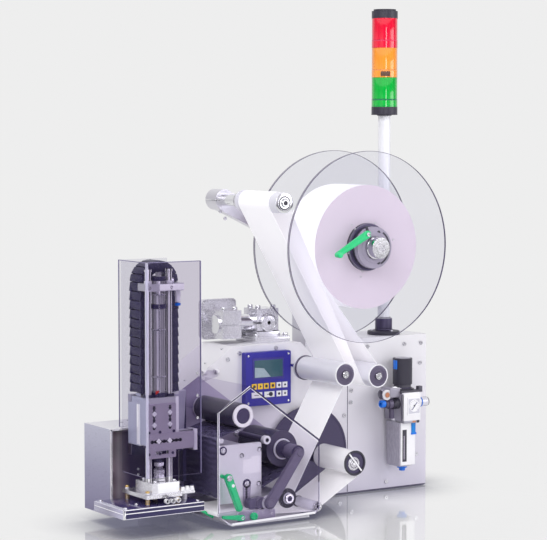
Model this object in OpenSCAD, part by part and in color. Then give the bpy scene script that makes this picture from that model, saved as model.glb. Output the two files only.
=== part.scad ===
// Label printer applicator: print module and unwinder on one cabinet, reel above, air driven tamp at
// the left. X runs along the cabinet front, Y goes into the machine and Z goes up. The origin is the
// middle of the pattern of holes under the cabinet, on the seam between the two front panels.

/* [Cabinet] */
// Depth of both housings
housing_d = 96; // [80:1:130]
// Height of both housings
housing_h = 260; // [250:1:275]
// Width of the unwinder housing, right of the seam
unwinder_w = 164; // [150:1:200]
// Width of the print housing, left of the seam
printer_w = 347; // [343:1:355]
// Thickness of the front panels
panel_t = 3; // [2:0.5:5]
// Wall of the housings
wall = 3; // [2:0.5:5]
// Distance between the holes under the cabinet along X
base_hole_x = 100; // [60:1:110]
// Distance between the holes under the cabinet along Y
base_hole_y = 56; // [30:1:66]
// Diameter of the holes under the cabinet
base_hole_d = 8.5; // [5:0.5:11]

/* [Operator panel] */
// Width and height of the operator panel
op_size = 87; // [85:1:87]
// Thickness of the operator panel
op_t = 12; // [8:1:20]

/* [Reel] */
// Diameter of the clear reel discs
reel_d = 305; // [280:1:310]
// Thickness of the reel discs
disc_t = 2; // [1.5:0.5:3]
// Clear width between the reel discs
reel_gap = 97; // [96:1:99]
// Diameter of the label roll
roll_d = 197; // [120:1:198]
// Width of the label web
web_w = 88; // [60:1:90]
// Thickness of the label web
web_t = 0.4; // [0.3:0.1:0.8]
// Diameter of the core inside the label roll
core_d = 76; // [70:1:90]
// Diameter of the front face of the reel hub
hub_d = 66; // [60:1:68]
// Diameter of the reel axle
axle_d = 18; // [12:1:22]
// Diameter of the end knob of the reel axle
end_knob_d = 33; // [26:1:36]
// Length of the reel lock lever
lock_len = 62; // [40:1:80]

/* [Guide rollers] */
// Diameter of the infeed and dancer rollers
roller_d = 37; // [26:1:38]
// Diameter of the upper guide roller
upper_d = 32; // [24:1:34]
// Diameter of the roller axles
spindle_d = 8; // [5:1:10]

/* [Signal tower] */
// Diameter of the signal tiers
tier_d = 44; // [36:1:50]
// Height of one signal tier
tier_h = 49.7; // [40:0.1:60]
// Diameter of the tower pole
pole_d = 21; // [16:1:26]
// Height of the tower pole above its socket
pole_h = 345; // [250:1:400]

/* [Print module] */
// Diameter of the ribbon take-up roll
takeup_d = 38; // [37:1:46]
// Diameter of the ribbon supply roll
supply_d = 55; // [40:1:55]
// Thickness of the clear hood
hood_t = 3; // [2:0.5:4]
// Depth of the hood in front of the cabinet
hood_d = 157; // [155:1:165]
// Diameter of the rewinder disc
rewind_d = 152; // [100:1:154]
// Diameter of the wound liner
liner_d = 41; // [40:1:60]

/* [Tamp applicator] */
// Stroke of the tamp
stroke = 150; // [50:1:160]
// Width of the tamp pad along X
pad_w = 139; // [120:1:145]
// Depth of the tamp pad along Y
pad_d = 94; // [80:1:96]
// Thickness of the tamp pad
pad_t = 14; // [8:1:15]
// Diameter of the guide rods
rod_d = 10; // [8:1:11]
// Distance between the guide rods
rod_pitch = 36; // [35:1:40]
// Diameter of the air cylinder barrel
barrel_d = 20; // [16:1:21]
// Travel of the sprung pad
float_travel = 4; // [2:0.5:6]
// Height of the clear cover
cover_h = 325; // [325:1:345]
// Thickness of the clear cover
cover_t = 3; // [2:0.5:3]

/* [Air regulator] */
// Width of the regulator body
reg_w = 38; // [32:1:42]
// Diameter of the regulator bowl
bowl_d = 38.5; // [30:0.5:42]
// Diameter of the regulator knob
reg_knob_d = 33; // [26:1:38]

/* [Mount clamp] */
// Diameter of the clamp tubes
tube_d = 30; // [24:1:32]
// Side of the square mount flange
flange_s = 66; // [62:1:70]
// Distance between the holes of the mount flange
flange_hole = 52; // [50:1:53]
// Diameter of the holes of the mount flange
flange_hole_d = 6.6; // [4.5:0.1:8.5]

/* [Hidden] */

// running clearance of a shaft in its bore, seat gap between pieces, and gap of film from rollers
run = 0.05;
seat = 0.3;
film = 0.3;
// front ends of the guide rollers
roller_v0 = -162;
roller_v1 = -43;
tiny = 0.02;
// front plane of the cabinet
fy = -housing_d / 2;

// centres of the reel, rollers and spindles in the XZ plane
reel = [-63.5, housing_h + 162.8];
upper = [-231, 496.3];
infeed = [-117, 224.3];
dancer = [-53, 218];
wgr = [-215, 35.5];
lgr = [-163, 18];
opx = -164.5;
opz = 206;
arm_p = [-250, 31.7];
peel = [-338, 21];
head_x0 = -330;
head_x1 = -253;
tape_a = [head_x0 + 12, 46];
tape_b = [head_x1 - 24, 44];
tape_g = [-324.5, 132];
rew = [-85, 78.5];
tku = [-286, 168];
sup = [-196, 105.5];
guide = [-236, 125];

// helpers: v is measured from the front plane, negative towards the front
module yc(x, v0, v1, z, r, n = 64) {
    translate([x, fy + v1, z]) rotate([90, 0, 0]) cylinder(h = v1 - v0, r = r, $fn = n);
}
module bx(x0, x1, v0, v1, z0, z1) {
    translate([x0, fy + v0, z0]) cube([x1 - x0, v1 - v0, z1 - z0]);
}
module zc(x, v, z0, z1, r, n = 64) {
    translate([x, fy + v, z0]) cylinder(h = z1 - z0, r = r, $fn = n);
}
module xc(x0, x1, v, z, r, n = 64) {
    translate([x0, fy + v, z]) rotate([0, 90, 0]) cylinder(h = x1 - x0, r = r, $fn = n);
}
module prism(v0, v1, pts) {
    translate([0, fy + v1, 0]) rotate([90, 0, 0]) linear_extrude(v1 - v0) polygon(pts);
}
module slab(x0, x1, v0, v1, z0, z1, r) {
    translate([0, fy + v1, 0]) rotate([90, 0, 0]) linear_extrude(v1 - v0)
        translate([x0 + r, z0 + r]) {
            square([x1 - x0 - 2 * r, z1 - z0 - 2 * r]);
            for (c = [[0, 0], [x1 - x0 - 2 * r, 0], [0, z1 - z0 - 2 * r],
                [x1 - x0 - 2 * r, z1 - z0 - 2 * r]]) translate(c) circle(r, $fn = 32);
            translate([-r, 0]) square([x1 - x0, z1 - z0 - 2 * r]);
            translate([0, -r]) square([x1 - x0 - 2 * r, z1 - z0]);
        }
}
// bar with round ends in the XZ plane
module bar(a, b, v0, v1, ra, rb) {
    l = norm(b - a);
    t = acos((ra - rb) / l);
    p = atan2(b[1] - a[1], b[0] - a[0]);
    prism(v0, v1, [a + ra * [cos(p + t), sin(p + t)], a + ra * [cos(p - t), sin(p - t)],
        b + rb * [cos(p - t), sin(p - t)], b + rb * [cos(p + t), sin(p + t)]]);
    yc(a[0], v0, v1, a[1], ra);
    yc(b[0], v0, v1, b[1], rb);
}

// outline of the print housing, from the front
cham_l = 0.667;
ledge = 123;
hx = -printer_w;
hz1 = housing_h - (printer_w - 224) * cham_l;
bridge_x = -72;
bridge_z = 185;
print_pts = [[hx, 22], [hx + 22, 0], [0, 0], [0, bridge_z], [bridge_x, bridge_z],
    [bridge_x, housing_h - 22], [bridge_x - 22, housing_h], [-224, housing_h], [hx, hz1]];
print_in = [[hx + wall, 24], [hx + 24, wall], [-wall, wall], [-wall, bridge_z - wall],
    [bridge_x - wall, bridge_z - wall], [bridge_x - wall, housing_h - 24],
    [bridge_x - 24, housing_h - wall], [-224, housing_h - wall], [hx + wall, hz1 - 2]];

module base_holes() {
    for (sx = [-1, 1]) for (sy = [-1, 1])
        translate([sx * base_hole_x / 2, sy * base_hole_y / 2, -1])
            cylinder(h = wall + 2, d = base_hole_d, $fn = 32);
}
module print_housing() {
    color("#e4e0e6") difference() {
        prism(panel_t + tiny, housing_d, print_pts);
        prism(panel_t - 1, housing_d - wall, print_in);
        base_holes();
        yc(infeed[0], 0, panel_t + 20, infeed[1], spindle_d / 2 + run);
    }
}
module unwinder_housing() {
    color("#e4e0e6") difference() {
        bx(tiny, unwinder_w, panel_t + tiny, housing_d, 0, housing_h);
        bx(wall, unwinder_w - wall, panel_t - 1, housing_d - wall, wall, housing_h - wall);
        base_holes();
        zc(pole_x, pole_v, housing_h - wall - 1, housing_h + 1, 4);
    }
}
module print_front_panel() {
    color("#dcd8e0") difference() {
        prism(0, panel_t, [for (i = [0:8]) i == 2 || i == 3 ? print_pts[i] - [0.4, 0] : print_pts[i]]);
        for (q = [[infeed, spindle_d / 2 - 1 + tiny], [rew, 8 + run], [tku, 6 + run], [sup, 6 + run],
            [wgr, 3 + tiny], [lgr, 3 + tiny], [tape_g, 4 + tiny]]) yc(q[0][0], -1, panel_t + 1, q[0][1], q[1]);
    }
    color("#8d8894") difference() {
        for (x = [hinge_x - 15, hinge_x + 9]) union() {
            bx(x, x + 6, -5, 1, hinge_z - 4, hinge_z + 4);
            xc(x, x + 6, -5, hinge_z, 4);
        }
        xc(hinge_x - 16, hinge_x + 16, -5, hinge_z, 2 + run, 32);
    }
}
module unwinder_front_panel() {
    color("#dcd8e0") slab(0.4, unwinder_w, 0, panel_t, 0, housing_h, 4);
}
screw_at = [[117, 245], [152, 245], [150, 211], [143, 54], [7, 173], [6, 153], [8, 30], [80, 12],
    [40, 245]];
screw_left = [[-143, opz + op_size / 2 + 4], [opx - op_size / 2 - 5, 249], [-235, 240], [-7, 132], [-16, 13], [-60, 172]];
module screw_head(x, z) {
    difference() {
        yc(x, -2.2, -tiny, z, 3.4, 32);
        yc(x, -3, -1, z, 1.6, 6);
    }
}
module screws() {
    color("#8d8894") {
        for (q = screw_at) screw_head(q[0], q[1]);
        for (q = screw_left) screw_head(q[0], q[1]);
    }
}

// operator panel with its window and keys
module operator_panel() {
    color("#2c2a8c") difference() {
        slab(opx - op_size / 2, opx + op_size / 2, -op_t, -tiny, opz - op_size / 2,
            opz + op_size / 2, 3);
        bx(opx - 27.5 - tiny, opx + 27.5 + tiny, -op_t - 1, -op_t + 3, opz + 1.7, opz + 30.8);
        for (k = key_at) bx(k[0] - k[2] / 2 - tiny, k[0] + k[2] / 2 + tiny, -op_t - 1, -op_t + 1,
            k[1] - 4.6, k[1] + 4.6);
        for (sx = [-1, 1]) for (sz = [-1, 1])
            yc(opx + sx * (op_size / 2 - 5), -op_t - 1, -op_t + 2, opz + sz * (op_size / 2 - 5), 2, 32);
    }
}
module display_window() {
    color("#5d8fa0") bx(opx - 27.5, opx + 27.5, -op_t + 0.6, -op_t + 2.9, opz + 1.8, opz + 30.7);
}
key_at = [[opx - 27.5, opz - 12, 9], [opx - 16, opz - 12, 9], [opx - 4.5, opz - 12, 9],
    [opx + 8, opz - 12, 9], [opx + 20, opz - 12, 9], [opx + 31.5, opz - 12, 9],
    [opx - 22.5, opz - 26, 20], [opx + 1.5, opz - 26, 19], [opx + 20, opz - 26, 9],
    [opx + 31.5, opz - 26, 9]];
module keypad() {
    color("#f2c030") for (k = key_at)
        bx(k[0] - k[2] / 2, k[0] + k[2] / 2, -op_t - 1, -op_t + 0.95, k[1] - 4.55, k[1] + 4.55);
}

// signal tower
pole_x = 97;
pole_v = 32;
sock_z = housing_h + 8;
pole_z = sock_z + 21;
cap_z = pole_z + pole_h;
tier_z = cap_z + 13;
module tower_pole() {
    color("#e8e8ee") {
        zc(pole_x, pole_v, housing_h + tiny, housing_h + 6, 27);
        zc(pole_x, pole_v, housing_h + 5, sock_z + 1, 10);
        zc(pole_x, pole_v, sock_z, pole_z, pole_d / 2 + 3.5);
        zc(pole_x, pole_v, pole_z - 1, cap_z + 4, pole_d / 2);
    }
}
module tower_caps() {
    color("#2c2836") {
        difference() {
            zc(pole_x, pole_v, cap_z, tier_z, tier_d / 2);
            zc(pole_x, pole_v, cap_z - 1, cap_z + 4 + tiny, pole_d / 2 + tiny);
        }
        zc(pole_x, pole_v, tier_z + 3 * tier_h + tiny, tier_z + 3 * tier_h + 12, tier_d / 2);
        zc(pole_x, pole_v, tier_z + 3 * tier_h + 11, tier_z + 3 * tier_h + 15, tier_d / 2 - 3);
    }
}
module tier(i) {
    zc(pole_x, pole_v, tier_z + i * tier_h + tiny, tier_z + i * tier_h + 11, tier_d / 2);
    zc(pole_x, pole_v, tier_z + i * tier_h + 10, tier_z + (i + 1) * tier_h, tier_d / 2 - 0.8);
}
module tier_green() { color("#00b040") tier(0); }
module tier_amber() { color("#f09030") tier(1); }
module tier_red() { color("#e01030") tier(2); }

// mount clamp on the print housing: flange, two split blocks and two tubes
cl_z = housing_h + 10;
cross_z = cl_z + 22;
fl_x = -205;
fl_v = 76;
fl_z = housing_h + 5 + flange_s / 2;
cl2_x = -138;
module mount_flange() {
    color("#c9c9cf") difference() {
        slab(fl_x - flange_s / 2, fl_x + flange_s / 2, fl_v, fl_v + 10, fl_z - flange_s / 2,
            fl_z + flange_s / 2, 7);
        for (sx = [-1, 1]) for (sz = [-1, 1]) {
            yc(fl_x + sx * flange_hole / 2, fl_v - 1, fl_v + 11, fl_z + sz * flange_hole / 2,
                flange_hole_d / 2, 32);
            yc(fl_x + sx * flange_hole / 2, fl_v - 1, fl_v + 3, fl_z + sz * flange_hole / 2,
                flange_hole_d / 2 + 1.8, 32);
        }
    }
}
module clamp_blocks() {
    color("#c9c9cf") {
        difference() {
            bx(-225, -190, 30, fl_v - tiny, cross_z - 23, cross_z + 23);
            xc(-226, -189, 52, cross_z, tube_d / 2 + tiny);
            bx(-226, -189, 29, 53, cross_z - 1, cross_z + 1);
        }
        difference() {
            union() {
                bx(-171, -104, 18, 78, housing_h + tiny, cl_z);
                bx(cl2_x - 21, cl2_x + 21, 32, 72, cl_z - 1, cross_z + 23);
            }
            yc(cl2_x, 31, 73, cross_z, tube_d / 2 + tiny);
            bx(cl2_x - 22, cl2_x, 31, 73, cross_z - 1, cross_z + 1);
        }
        for (q = [[-166, 24], [-166, 72], [-109, 24], [-109, 72]])
            zc(q[0], q[1], cl_z - 0.5, cl_z + 5, 4, 6);
        for (q = [[-218, 40], [-197, 40], [cl2_x - 14, 40], [cl2_x - 14, 64], [cl2_x + 15, 40]])
            zc(q[0], q[1], cross_z + 22, cross_z + 28, 4, 6);
    }
}
module clamp_tubes() {
    color("#d8d8dd") {
        yc(cl2_x, 28, 78, cross_z, tube_d / 2);
        xc(-228, cl2_x - 21 - tiny, 52, cross_z, tube_d / 2);
    }
}

// reel, its support and the lock lever
rg0 = -50 - reel_gap;
rg1 = -50;
hub_v = rg0 - 18;
lock_p = reel + [-17.5, 21.5];
module reel_support() {
    color("#b9b6c0") difference() {
        union() {
            bx(-70, -10, 22, 62, bridge_z + tiny, reel[1] - 20);
            bx(-71, -1, 12, 74, bridge_z + tiny, bridge_z + 6);
            yc(reel[0], 6, 62, reel[1], 30);
            bx(reel[0] - 30, reel[0] + 30, 22, 62, reel[1] - 50, reel[1]);
            bar(reel, upper, 22, 38, 22, 17);
            yc(upper[0], 14, 46, upper[1], 17);
        }
        yc(reel[0], 5, 63, reel[1], axle_d / 2 + tiny);
        yc(upper[0], 13, 47, upper[1], 9 + tiny);
        yc(dancer[0], 21, 50, dancer[1], spindle_d / 2 + tiny);
        bx(upper[0] - 18, upper[0], 13, 47, upper[1] - 1, upper[1] + 1);
    }
}
module axles() {
    color("#c8c8cd") {
        yc(reel[0], hub_v - 1, 60, reel[1], axle_d / 2);
        difference() {
            yc(reel[0], hub_v - 18, hub_v - 0.4, reel[1], end_knob_d / 2);
            yc(reel[0], hub_v - 19, hub_v - 15, reel[1], 6, 6);
        }
        yc(reel[0], rg1 + disc_t + 8, 5.9, reel[1], axle_d / 2 + 5);
        yc(upper[0], roller_v0 - 1, 60, upper[1], 4);
        yc(upper[0], -42, 60, upper[1], 9);
        yc(dancer[0], roller_v0 - 1, 48, dancer[1], spindle_d / 2 - 1);
        yc(dancer[0], roller_v1 + 0.4, 48, dancer[1], spindle_d / 2);
        yc(infeed[0], roller_v0 - 1, panel_t + 15, infeed[1], spindle_d / 2 - 1);
        yc(infeed[0], roller_v1 + 0.4, -16, infeed[1], spindle_d / 2);
        yc(guide[0], -119, -tiny, guide[1], 4);
        yc(guide[0], -120, -111, guide[1], 6.5);
        yc(guide[0], -34, -28, guide[1], 6.5);
        for (c = [upper, infeed, dancer]) difference() {
            yc(c[0], roller_v0 - 2, roller_v0 - 0.4, c[1], 5.5);
            yc(c[0], roller_v0 - 3, roller_v0 - 1.2, c[1], 2.5, 6);
        }
    }
}
module reel_discs() {
    color("#c8cdea", 0.4) for (v = [rg0 - disc_t, rg1]) difference() {
        yc(reel[0], v, v + disc_t, reel[1], reel_d / 2, 180);
        yc(reel[0], v - 1, v + disc_t + 1, reel[1], hub_d / 2 + tiny);
    }
}
module reel_hub() {
    color("#b3a9bd") difference() {
        union() {
            yc(reel[0], rg0 + tiny, rg1 - tiny, reel[1], core_d / 2);
            yc(reel[0], hub_v, rg1 + disc_t + 7.5, reel[1], hub_d / 2);
        }
        yc(reel[0], hub_v - 1, rg1 + disc_t + 9, reel[1], axle_d / 2 + run);
        for (a = [72, 288]) yc(reel[0] + 25 * cos(a), hub_v - 1, hub_v + 8,
            reel[1] + 25 * sin(a), 3.4, 32);
        yc(lock_p[0], hub_v - 1, hub_v + 6, lock_p[1], 2.5 + run, 32);
    }
}
module label_roll() {
    color("#e9e0ea") difference() {
        yc(reel[0], -50 - (reel_gap - web_w) / 2 - web_w, -50 - (reel_gap - web_w) / 2, reel[1],
            roll_d / 2, 180);
        yc(reel[0], rg0, rg1, reel[1], core_d / 2 + tiny);
    }
}
module reel_lock_lever() {
    e = lock_p + lock_len * [-0.88, -0.475];
    color("#2fc878") {
        bar(lock_p, e, hub_v - 7, hub_v - 0.5, 4.5, 3.6);
        yc(lock_p[0], hub_v - 1, hub_v + 5.5, lock_p[1], 2.5, 32);
        yc(e[0], hub_v - 13, hub_v - 6, e[1], 3.6, 32);
    }
}

// guide rollers
module roller(c, v0, v1, r, bore) {
    difference() {
        union() {
            yc(c[0], v0, v1, c[1], r);
            yc(c[0], v1 - 4, v1, c[1], r + 1.2);
        }
        yc(c[0], v0 - 1, v1 + 1, c[1], bore / 2 + run);
        yc(c[0], v0 - 1, v0 + 1.5, c[1], r - 1.8);
    }
}
module upper_roller() {
    color("#d4d3dc") roller(upper, roller_v0, roller_v1, upper_d / 2, 8);
}
module infeed_roller() {
    color("#d4d3dc") roller(infeed, roller_v0, roller_v1, roller_d / 2, spindle_d - 2);
}
module dancer_roller() {
    color("#d4d3dc") roller(dancer, roller_v0, roller_v1, roller_d / 2, spindle_d - 2);
}

// label web: a thin sheet that follows the rollers, s is 1 where the roller is left of the path
function tang(a, ra, sa, b, rb, sb) =
    let(d = b - a, h = atan2(d[1], d[0]) + acos((sb * rb - sa * ra) / norm(d)))
    [a - sa * ra * [cos(h), sin(h)], b - sb * rb * [cos(h), sin(h)], h];
function span(a, b, s) = let(d = b - a) s > 0 ? (d < 0 ? d + 360 : d) : (d > 0 ? d - 360 : d);
function wrap(c, r, s, h0, h1) = let(d = span(h0, h1, s), n = max(1, ceil(abs(d) / 15)))
    [for (i = [0:n]) c - s * r * [cos(h0 + d * i / n), sin(h0 + d * i / n)]];
function route(q) = let(t = [for (i = [0:len(q) - 2])
    tang(q[i][0], q[i][1], q[i][2], q[i + 1][0], q[i + 1][1], q[i + 1][2])])
    concat([t[0][0]], [for (i = [1:len(q) - 2]) each wrap(q[i][0], q[i][1], q[i][2],
        t[i - 1][2], t[i][2])], [t[len(t) - 1][1]]);
function nrm(p, i) = let(a = p[max(0, i - 1)], b = p[min(len(p) - 1, i + 1)], d = (b - a) / norm(b - a))
    [-d[1], d[0]];
module sheet(p, v0, v1, t) {
    prism(v0, v1, concat([for (i = [0:len(p) - 1]) p[i] + t / 2 * nrm(p, i)],
        [for (i = [len(p) - 1:-1:0]) p[i] - t / 2 * nrm(p, i)]));
}
off = film + web_t / 2 + 0.15;
web_v0 = -50 - (reel_gap - web_w) / 2 - web_w;
web_v1 = -50 - (reel_gap - web_w) / 2;
web_in = route([[reel, roll_d / 2 + off, 1], [dancer, roller_d / 2 + off, -1],
    [upper, upper_d / 2 + off, 1], [infeed, roller_d / 2 + off, -1], [wgr, 9 + off, -1],
    [peel, 2.5 + off, 1], [lgr, 8 + off, 1], [rew, liner_d / 2 + off, 1]]);
module label_web() {
    color("#f1eff3") sheet(web_in, web_v0, web_v1, web_t);
}
module web_guide_roller() {
    color("#d4d3dc") difference() {
        union() {
            yc(wgr[0], web_v0 - 2, -12, wgr[1], 9);
            yc(wgr[0], web_v0 - 5, web_v0 - 2, wgr[1], 15.5);
        }
        yc(wgr[0], web_v0 - 6, -11, wgr[1], 3 + run);
    }
}
module liner_guide_roller() {
    color("#3a3644") difference() {
        yc(lgr[0], -152, -12, lgr[1], 8);
        yc(lgr[0], -153, -11, lgr[1], 3 + run);
    }
}

// liner rewinder
module rewinder() {
    color("#4b3d6e") {
        yc(rew[0], -10, -6, rew[1], rewind_d / 2, 128);
        yc(rew[0], -138, -6, rew[1], 14);
        yc(rew[0], -143, web_v0 - tiny, rew[1], 19);
        yc(rew[0], -7, panel_t + 12, rew[1], 8);
    }
}
module liner_roll() {
    color("#f4f1f2") difference() {
        yc(rew[0], web_v0, web_v1, rew[1], liner_d / 2 - off - web_t / 2, 96);
        yc(rew[0], web_v0 - 1, web_v1 + 1, rew[1], 14 + tiny);
    }
}

// print module behind the hood
module print_head() {
    color("#d9d7dd") difference() {
        union() {
            slab(head_x0, head_x1, -130, -126, 34, 125, 3);
            prism(-126.5, -tiny, [[head_x0 + 15, 42], [tape_b[0] - 2, 40], [tape_b[0] + 7, 50],
                [head_x1 - 12, 118], [head_x0 + 27, 118]]);
            yc(tape_g[0], -129, panel_t, tape_g[1], 4);
            yc(tape_a[0], -126.5, -14, tape_a[1], 8 - 0.5);
            yc(tape_b[0], -126.5, -14, tape_b[1], 6 - 0.5);
        }
        yc(head_piv[0], -131, -120, head_piv[1], 3 + run, 32);
    }
    color("#8d8894") for (q = [[-323, 117, 4], [-290, 106, 3], [-258, 113, 3], [-259, 60, 3],
        [-280, 62, 3]]) yc(q[0], -132.2, -130 - tiny, q[1], q[2], 6);
}
module print_base() {
    color("#cfccd6") {
        prism(-149, -tiny, [[-318, 2], [-176, 2], [-176, 5], [-318, 5]]);
        prism(-144, -39, [[peel[0], peel[1] - 2.5], [peel[0] + 3, peel[1] + 2.3],
            [-262, peel[1] + 3.2], [-262, peel[1] - 5.5]]);
        yc(peel[0], -144, -39, peel[1], 2.5, 32);
        bx(-310, -262, -40, -tiny, 4, 24);
        yc(wgr[0], web_v0 - 5.5, panel_t, wgr[1], 3, 32);
        yc(lgr[0], -153.5, panel_t, lgr[1], 3, 32);
        difference() {
            union() {
                slab(-308, -238, -147.5, -144, 4, 23, 4);
                yc(arm_p[0], -147.5, -144, arm_p[1], 12);
                bx(-306, -240, -147.5, -143, 4, 6);
            }
            yc(arm_p[0], -148, -143, arm_p[1], 4 + run);
            yc(latch_p[0], -148, -142, latch_p[1], 2 + run, 32);
            yc(knob_p[0], -148, -142, knob_p[1], 2 + run, 32);
        }
    }
}
head_piv = [-325.5, 78];
module head_lever() {
    color("#2fc878") {
        bar(head_piv, [-306.5, 30], -152.6, -148, 6.5, 5.5);
        yc(head_piv[0], -149, -124, head_piv[1], 3, 32);
        yc(head_piv[0], -153.4, -152.5, head_piv[1], 4, 6);
    }
}
latch_p = [-301, 14];
module latch_lever() {
    color("#2fc878") {
        bar(latch_p, [-334, 18], -152, -148.2, 4.5, 2.5);
        yc(latch_p[0], -149, -144, latch_p[1], 2, 32);
    }
}
knob_p = [-279, 14];
module adjust_knob() {
    color("#2fc878") {
        yc(knob_p[0], -152.2, -148, knob_p[1], 6, 10);
        yc(knob_p[0], -149, -144, knob_p[1], 2, 32);
    }
}
module takeup_core() {
    color("#f0eef0") difference() {
        yc(tku[0], -130, -6, tku[1], 17.6);
        yc(tku[0], -131, -122, tku[1], 12.3);
    }
    color("#f0eef0") yc(tku[0], -7, panel_t + 10, tku[1], 6);
}
module takeup_ribbon() {
    color("#2b2836") difference() {
        yc(tku[0], -127, -12, tku[1], takeup_d / 2);
        yc(tku[0], -128, -11, tku[1], 17.6 + tiny);
    }
}
module supply_core() {
    color("#f0eef0") {
        difference() {
            yc(sup[0], -103, -10, sup[1], 16.5);
            yc(sup[0], -104, -98, sup[1], 13.6);
        }
        yc(sup[0], -147.5, -97, sup[1], 11.5);
        yc(sup[0], -11, panel_t + 10, sup[1], 6);
    }
}
module supply_ribbon() {
    color("#2b2836") difference() {
        yc(sup[0], -100, -14, sup[1], supply_d / 2);
        yc(sup[0], -101, -13, sup[1], 16.5 + tiny);
    }
}
module ribbon_arm() {
    color("#5b5468") difference() {
        union() {
            bar(arm_p, sup, -153, -145 - seat - 2.5, 9, 8);
            yc(arm_p[0], -152, -144, arm_p[1], 4);
        }
        yc(sup[0], -154, -140, sup[1], 2);
    }
}
tape_off = film + 0.35;
film_path = route([[tku, takeup_d / 2 + tape_off, -1], [tape_g, 4.5, 1], [tape_a, 8, 1],
    [tape_b, 6, 1], [sup, supply_d / 2 + tape_off, 1]]);
module ribbon_film() {
    color("#2b2836") sheet(film_path, -122, -16, 0.4);
}
// clear hood: front pane, upper left pane and bottom lip, hinged over its ridge
hz = hz1 + 4.5;
hinge_x = -270;
hinge_z = housing_h - 38;
hood_top = [-289, hinge_z - 4.5];
hood_pts = [[hx, 22], [hx + 22, 5], [-170, 8], [-162, 16], [-162, 125], hood_top, [hx, hz]];
module hood() {
    color("#b9a8cf", 0.45) {
        prism(-hood_d, -hood_d + hood_t, hood_pts);
        prism(-hood_d, -2, [hood_top, [hx, hz], [hx, hz - hood_t * 1.2],
            hood_top - [0, hood_t * 1.2]]);
        prism(-hood_d, -hood_d + 4.5, [[hx + 22, 5], [-170, 8], [-170, 11], [hx + 22, 8]]);
        difference() {
            union() {
                prism(-20, -9.5, [hood_top - [6, 5], hood_top - [6, 8.5], [hinge_x + 5, hinge_z - 5],
                    [hinge_x + 5, hinge_z + 3.5], [hinge_x - 9, hinge_z + 3.5]]);
                bx(hinge_x - 8.7, hinge_x + 8.7, -10, -5, hinge_z - 3.5, hinge_z + 3.5);
                xc(hinge_x - 8.7, hinge_x + 8.7, -5, hinge_z, 3.5);
            }
            xc(hinge_x - 9, hinge_x + 9, -5, hinge_z, 2);
        }
        xc(hinge_x - 15, hinge_x + 15, -5, hinge_z, 2, 32);
    }
}

// air regulator
reg_x = 94;
reg_v = -27;
reg_z = 150;
module regulator_body() {
    color("#3b3944") difference() {
        union() {
            bx(reg_x - reg_w / 2, reg_x + reg_w / 2, -50, -4, reg_z - 22, reg_z + 22);
            bx(reg_x - 12, reg_x + 12, -5, -tiny, reg_z - 18, reg_z + 18);
            zc(reg_x, reg_v, reg_z + 21, reg_z + 31, 14.5);
            zc(reg_x, reg_v, reg_z - 30, reg_z - 21, bowl_d / 2 - 2);
            bx(reg_x - 9, reg_x + 15, -54, -49, reg_z - 17, reg_z + 8);
        }
        yc(reg_x + 3, -55, -52, reg_z - 4.5, 10.4);
        xc(reg_x - reg_w / 2 - 1, reg_x - reg_w / 2 + 6, reg_v, reg_z - 2, 5, 32);
        xc(reg_x + reg_w / 2 - 6, reg_x + reg_w / 2 + 1, reg_v, reg_z - 2, 5, 32);
        zc(reg_x, reg_v, reg_z + 20, reg_z + 32, 5 + run);
    }
}
module regulator_knob() {
    color("#2c2836") {
        zc(reg_x, reg_v, reg_z + 31.3, reg_z + 75, reg_knob_d / 2);
        zc(reg_x, reg_v, reg_z + 22, reg_z + 32, 5);
    }
}
module regulator_bowl() {
    color("#9a98a8") difference() {
        union() {
            zc(reg_x, reg_v, reg_z - 98, reg_z - 30 - tiny, bowl_d / 2);
            translate([reg_x, fy + reg_v, reg_z - 98]) cylinder(h = 9, r1 = 9, r2 = 9, $fn = 64);
            zc(reg_x, reg_v, reg_z - 107, reg_z - 97, 12);
        }
        zc(reg_x, reg_v, reg_z - 108, reg_z - 88, 3 + run, 32);
    }
}
module regulator_fittings() {
    color("#c4c4ca") {
        xc(reg_x + reg_w / 2 - 5, reg_x + reg_w / 2 + 10, reg_v, reg_z - 2, 5 - tiny, 32);
        xc(reg_x + reg_w / 2 + tiny, reg_x + reg_w / 2 + 32, reg_v, reg_z - 2, 7.2);
        xc(reg_x - reg_w / 2 - 10, reg_x - reg_w / 2 + 5, reg_v, reg_z - 2, 5 - tiny, 32);
        xc(reg_x - reg_w / 2 - 28, reg_x - reg_w / 2 - tiny, reg_v, reg_z - 2, 6.2);
    }
}
module gauge_needle() {
    color("#1c1a20") {
        bar([reg_x + 3, reg_z - 4.5], [reg_x - 3, reg_z + 1], -53.2, -52.6, 1.3, 0.5);
        yc(reg_x + 3, -52.7, -52 - tiny, reg_z - 4.5, 1, 32);
    }
}
module drain_cock() {
    color("#2f63c8") {
        zc(reg_x, reg_v, reg_z - 116, reg_z - 107.3, 5.2, 32);
        zc(reg_x, reg_v, reg_z - 108, reg_z - 89, 3, 32);
    }
}

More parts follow.
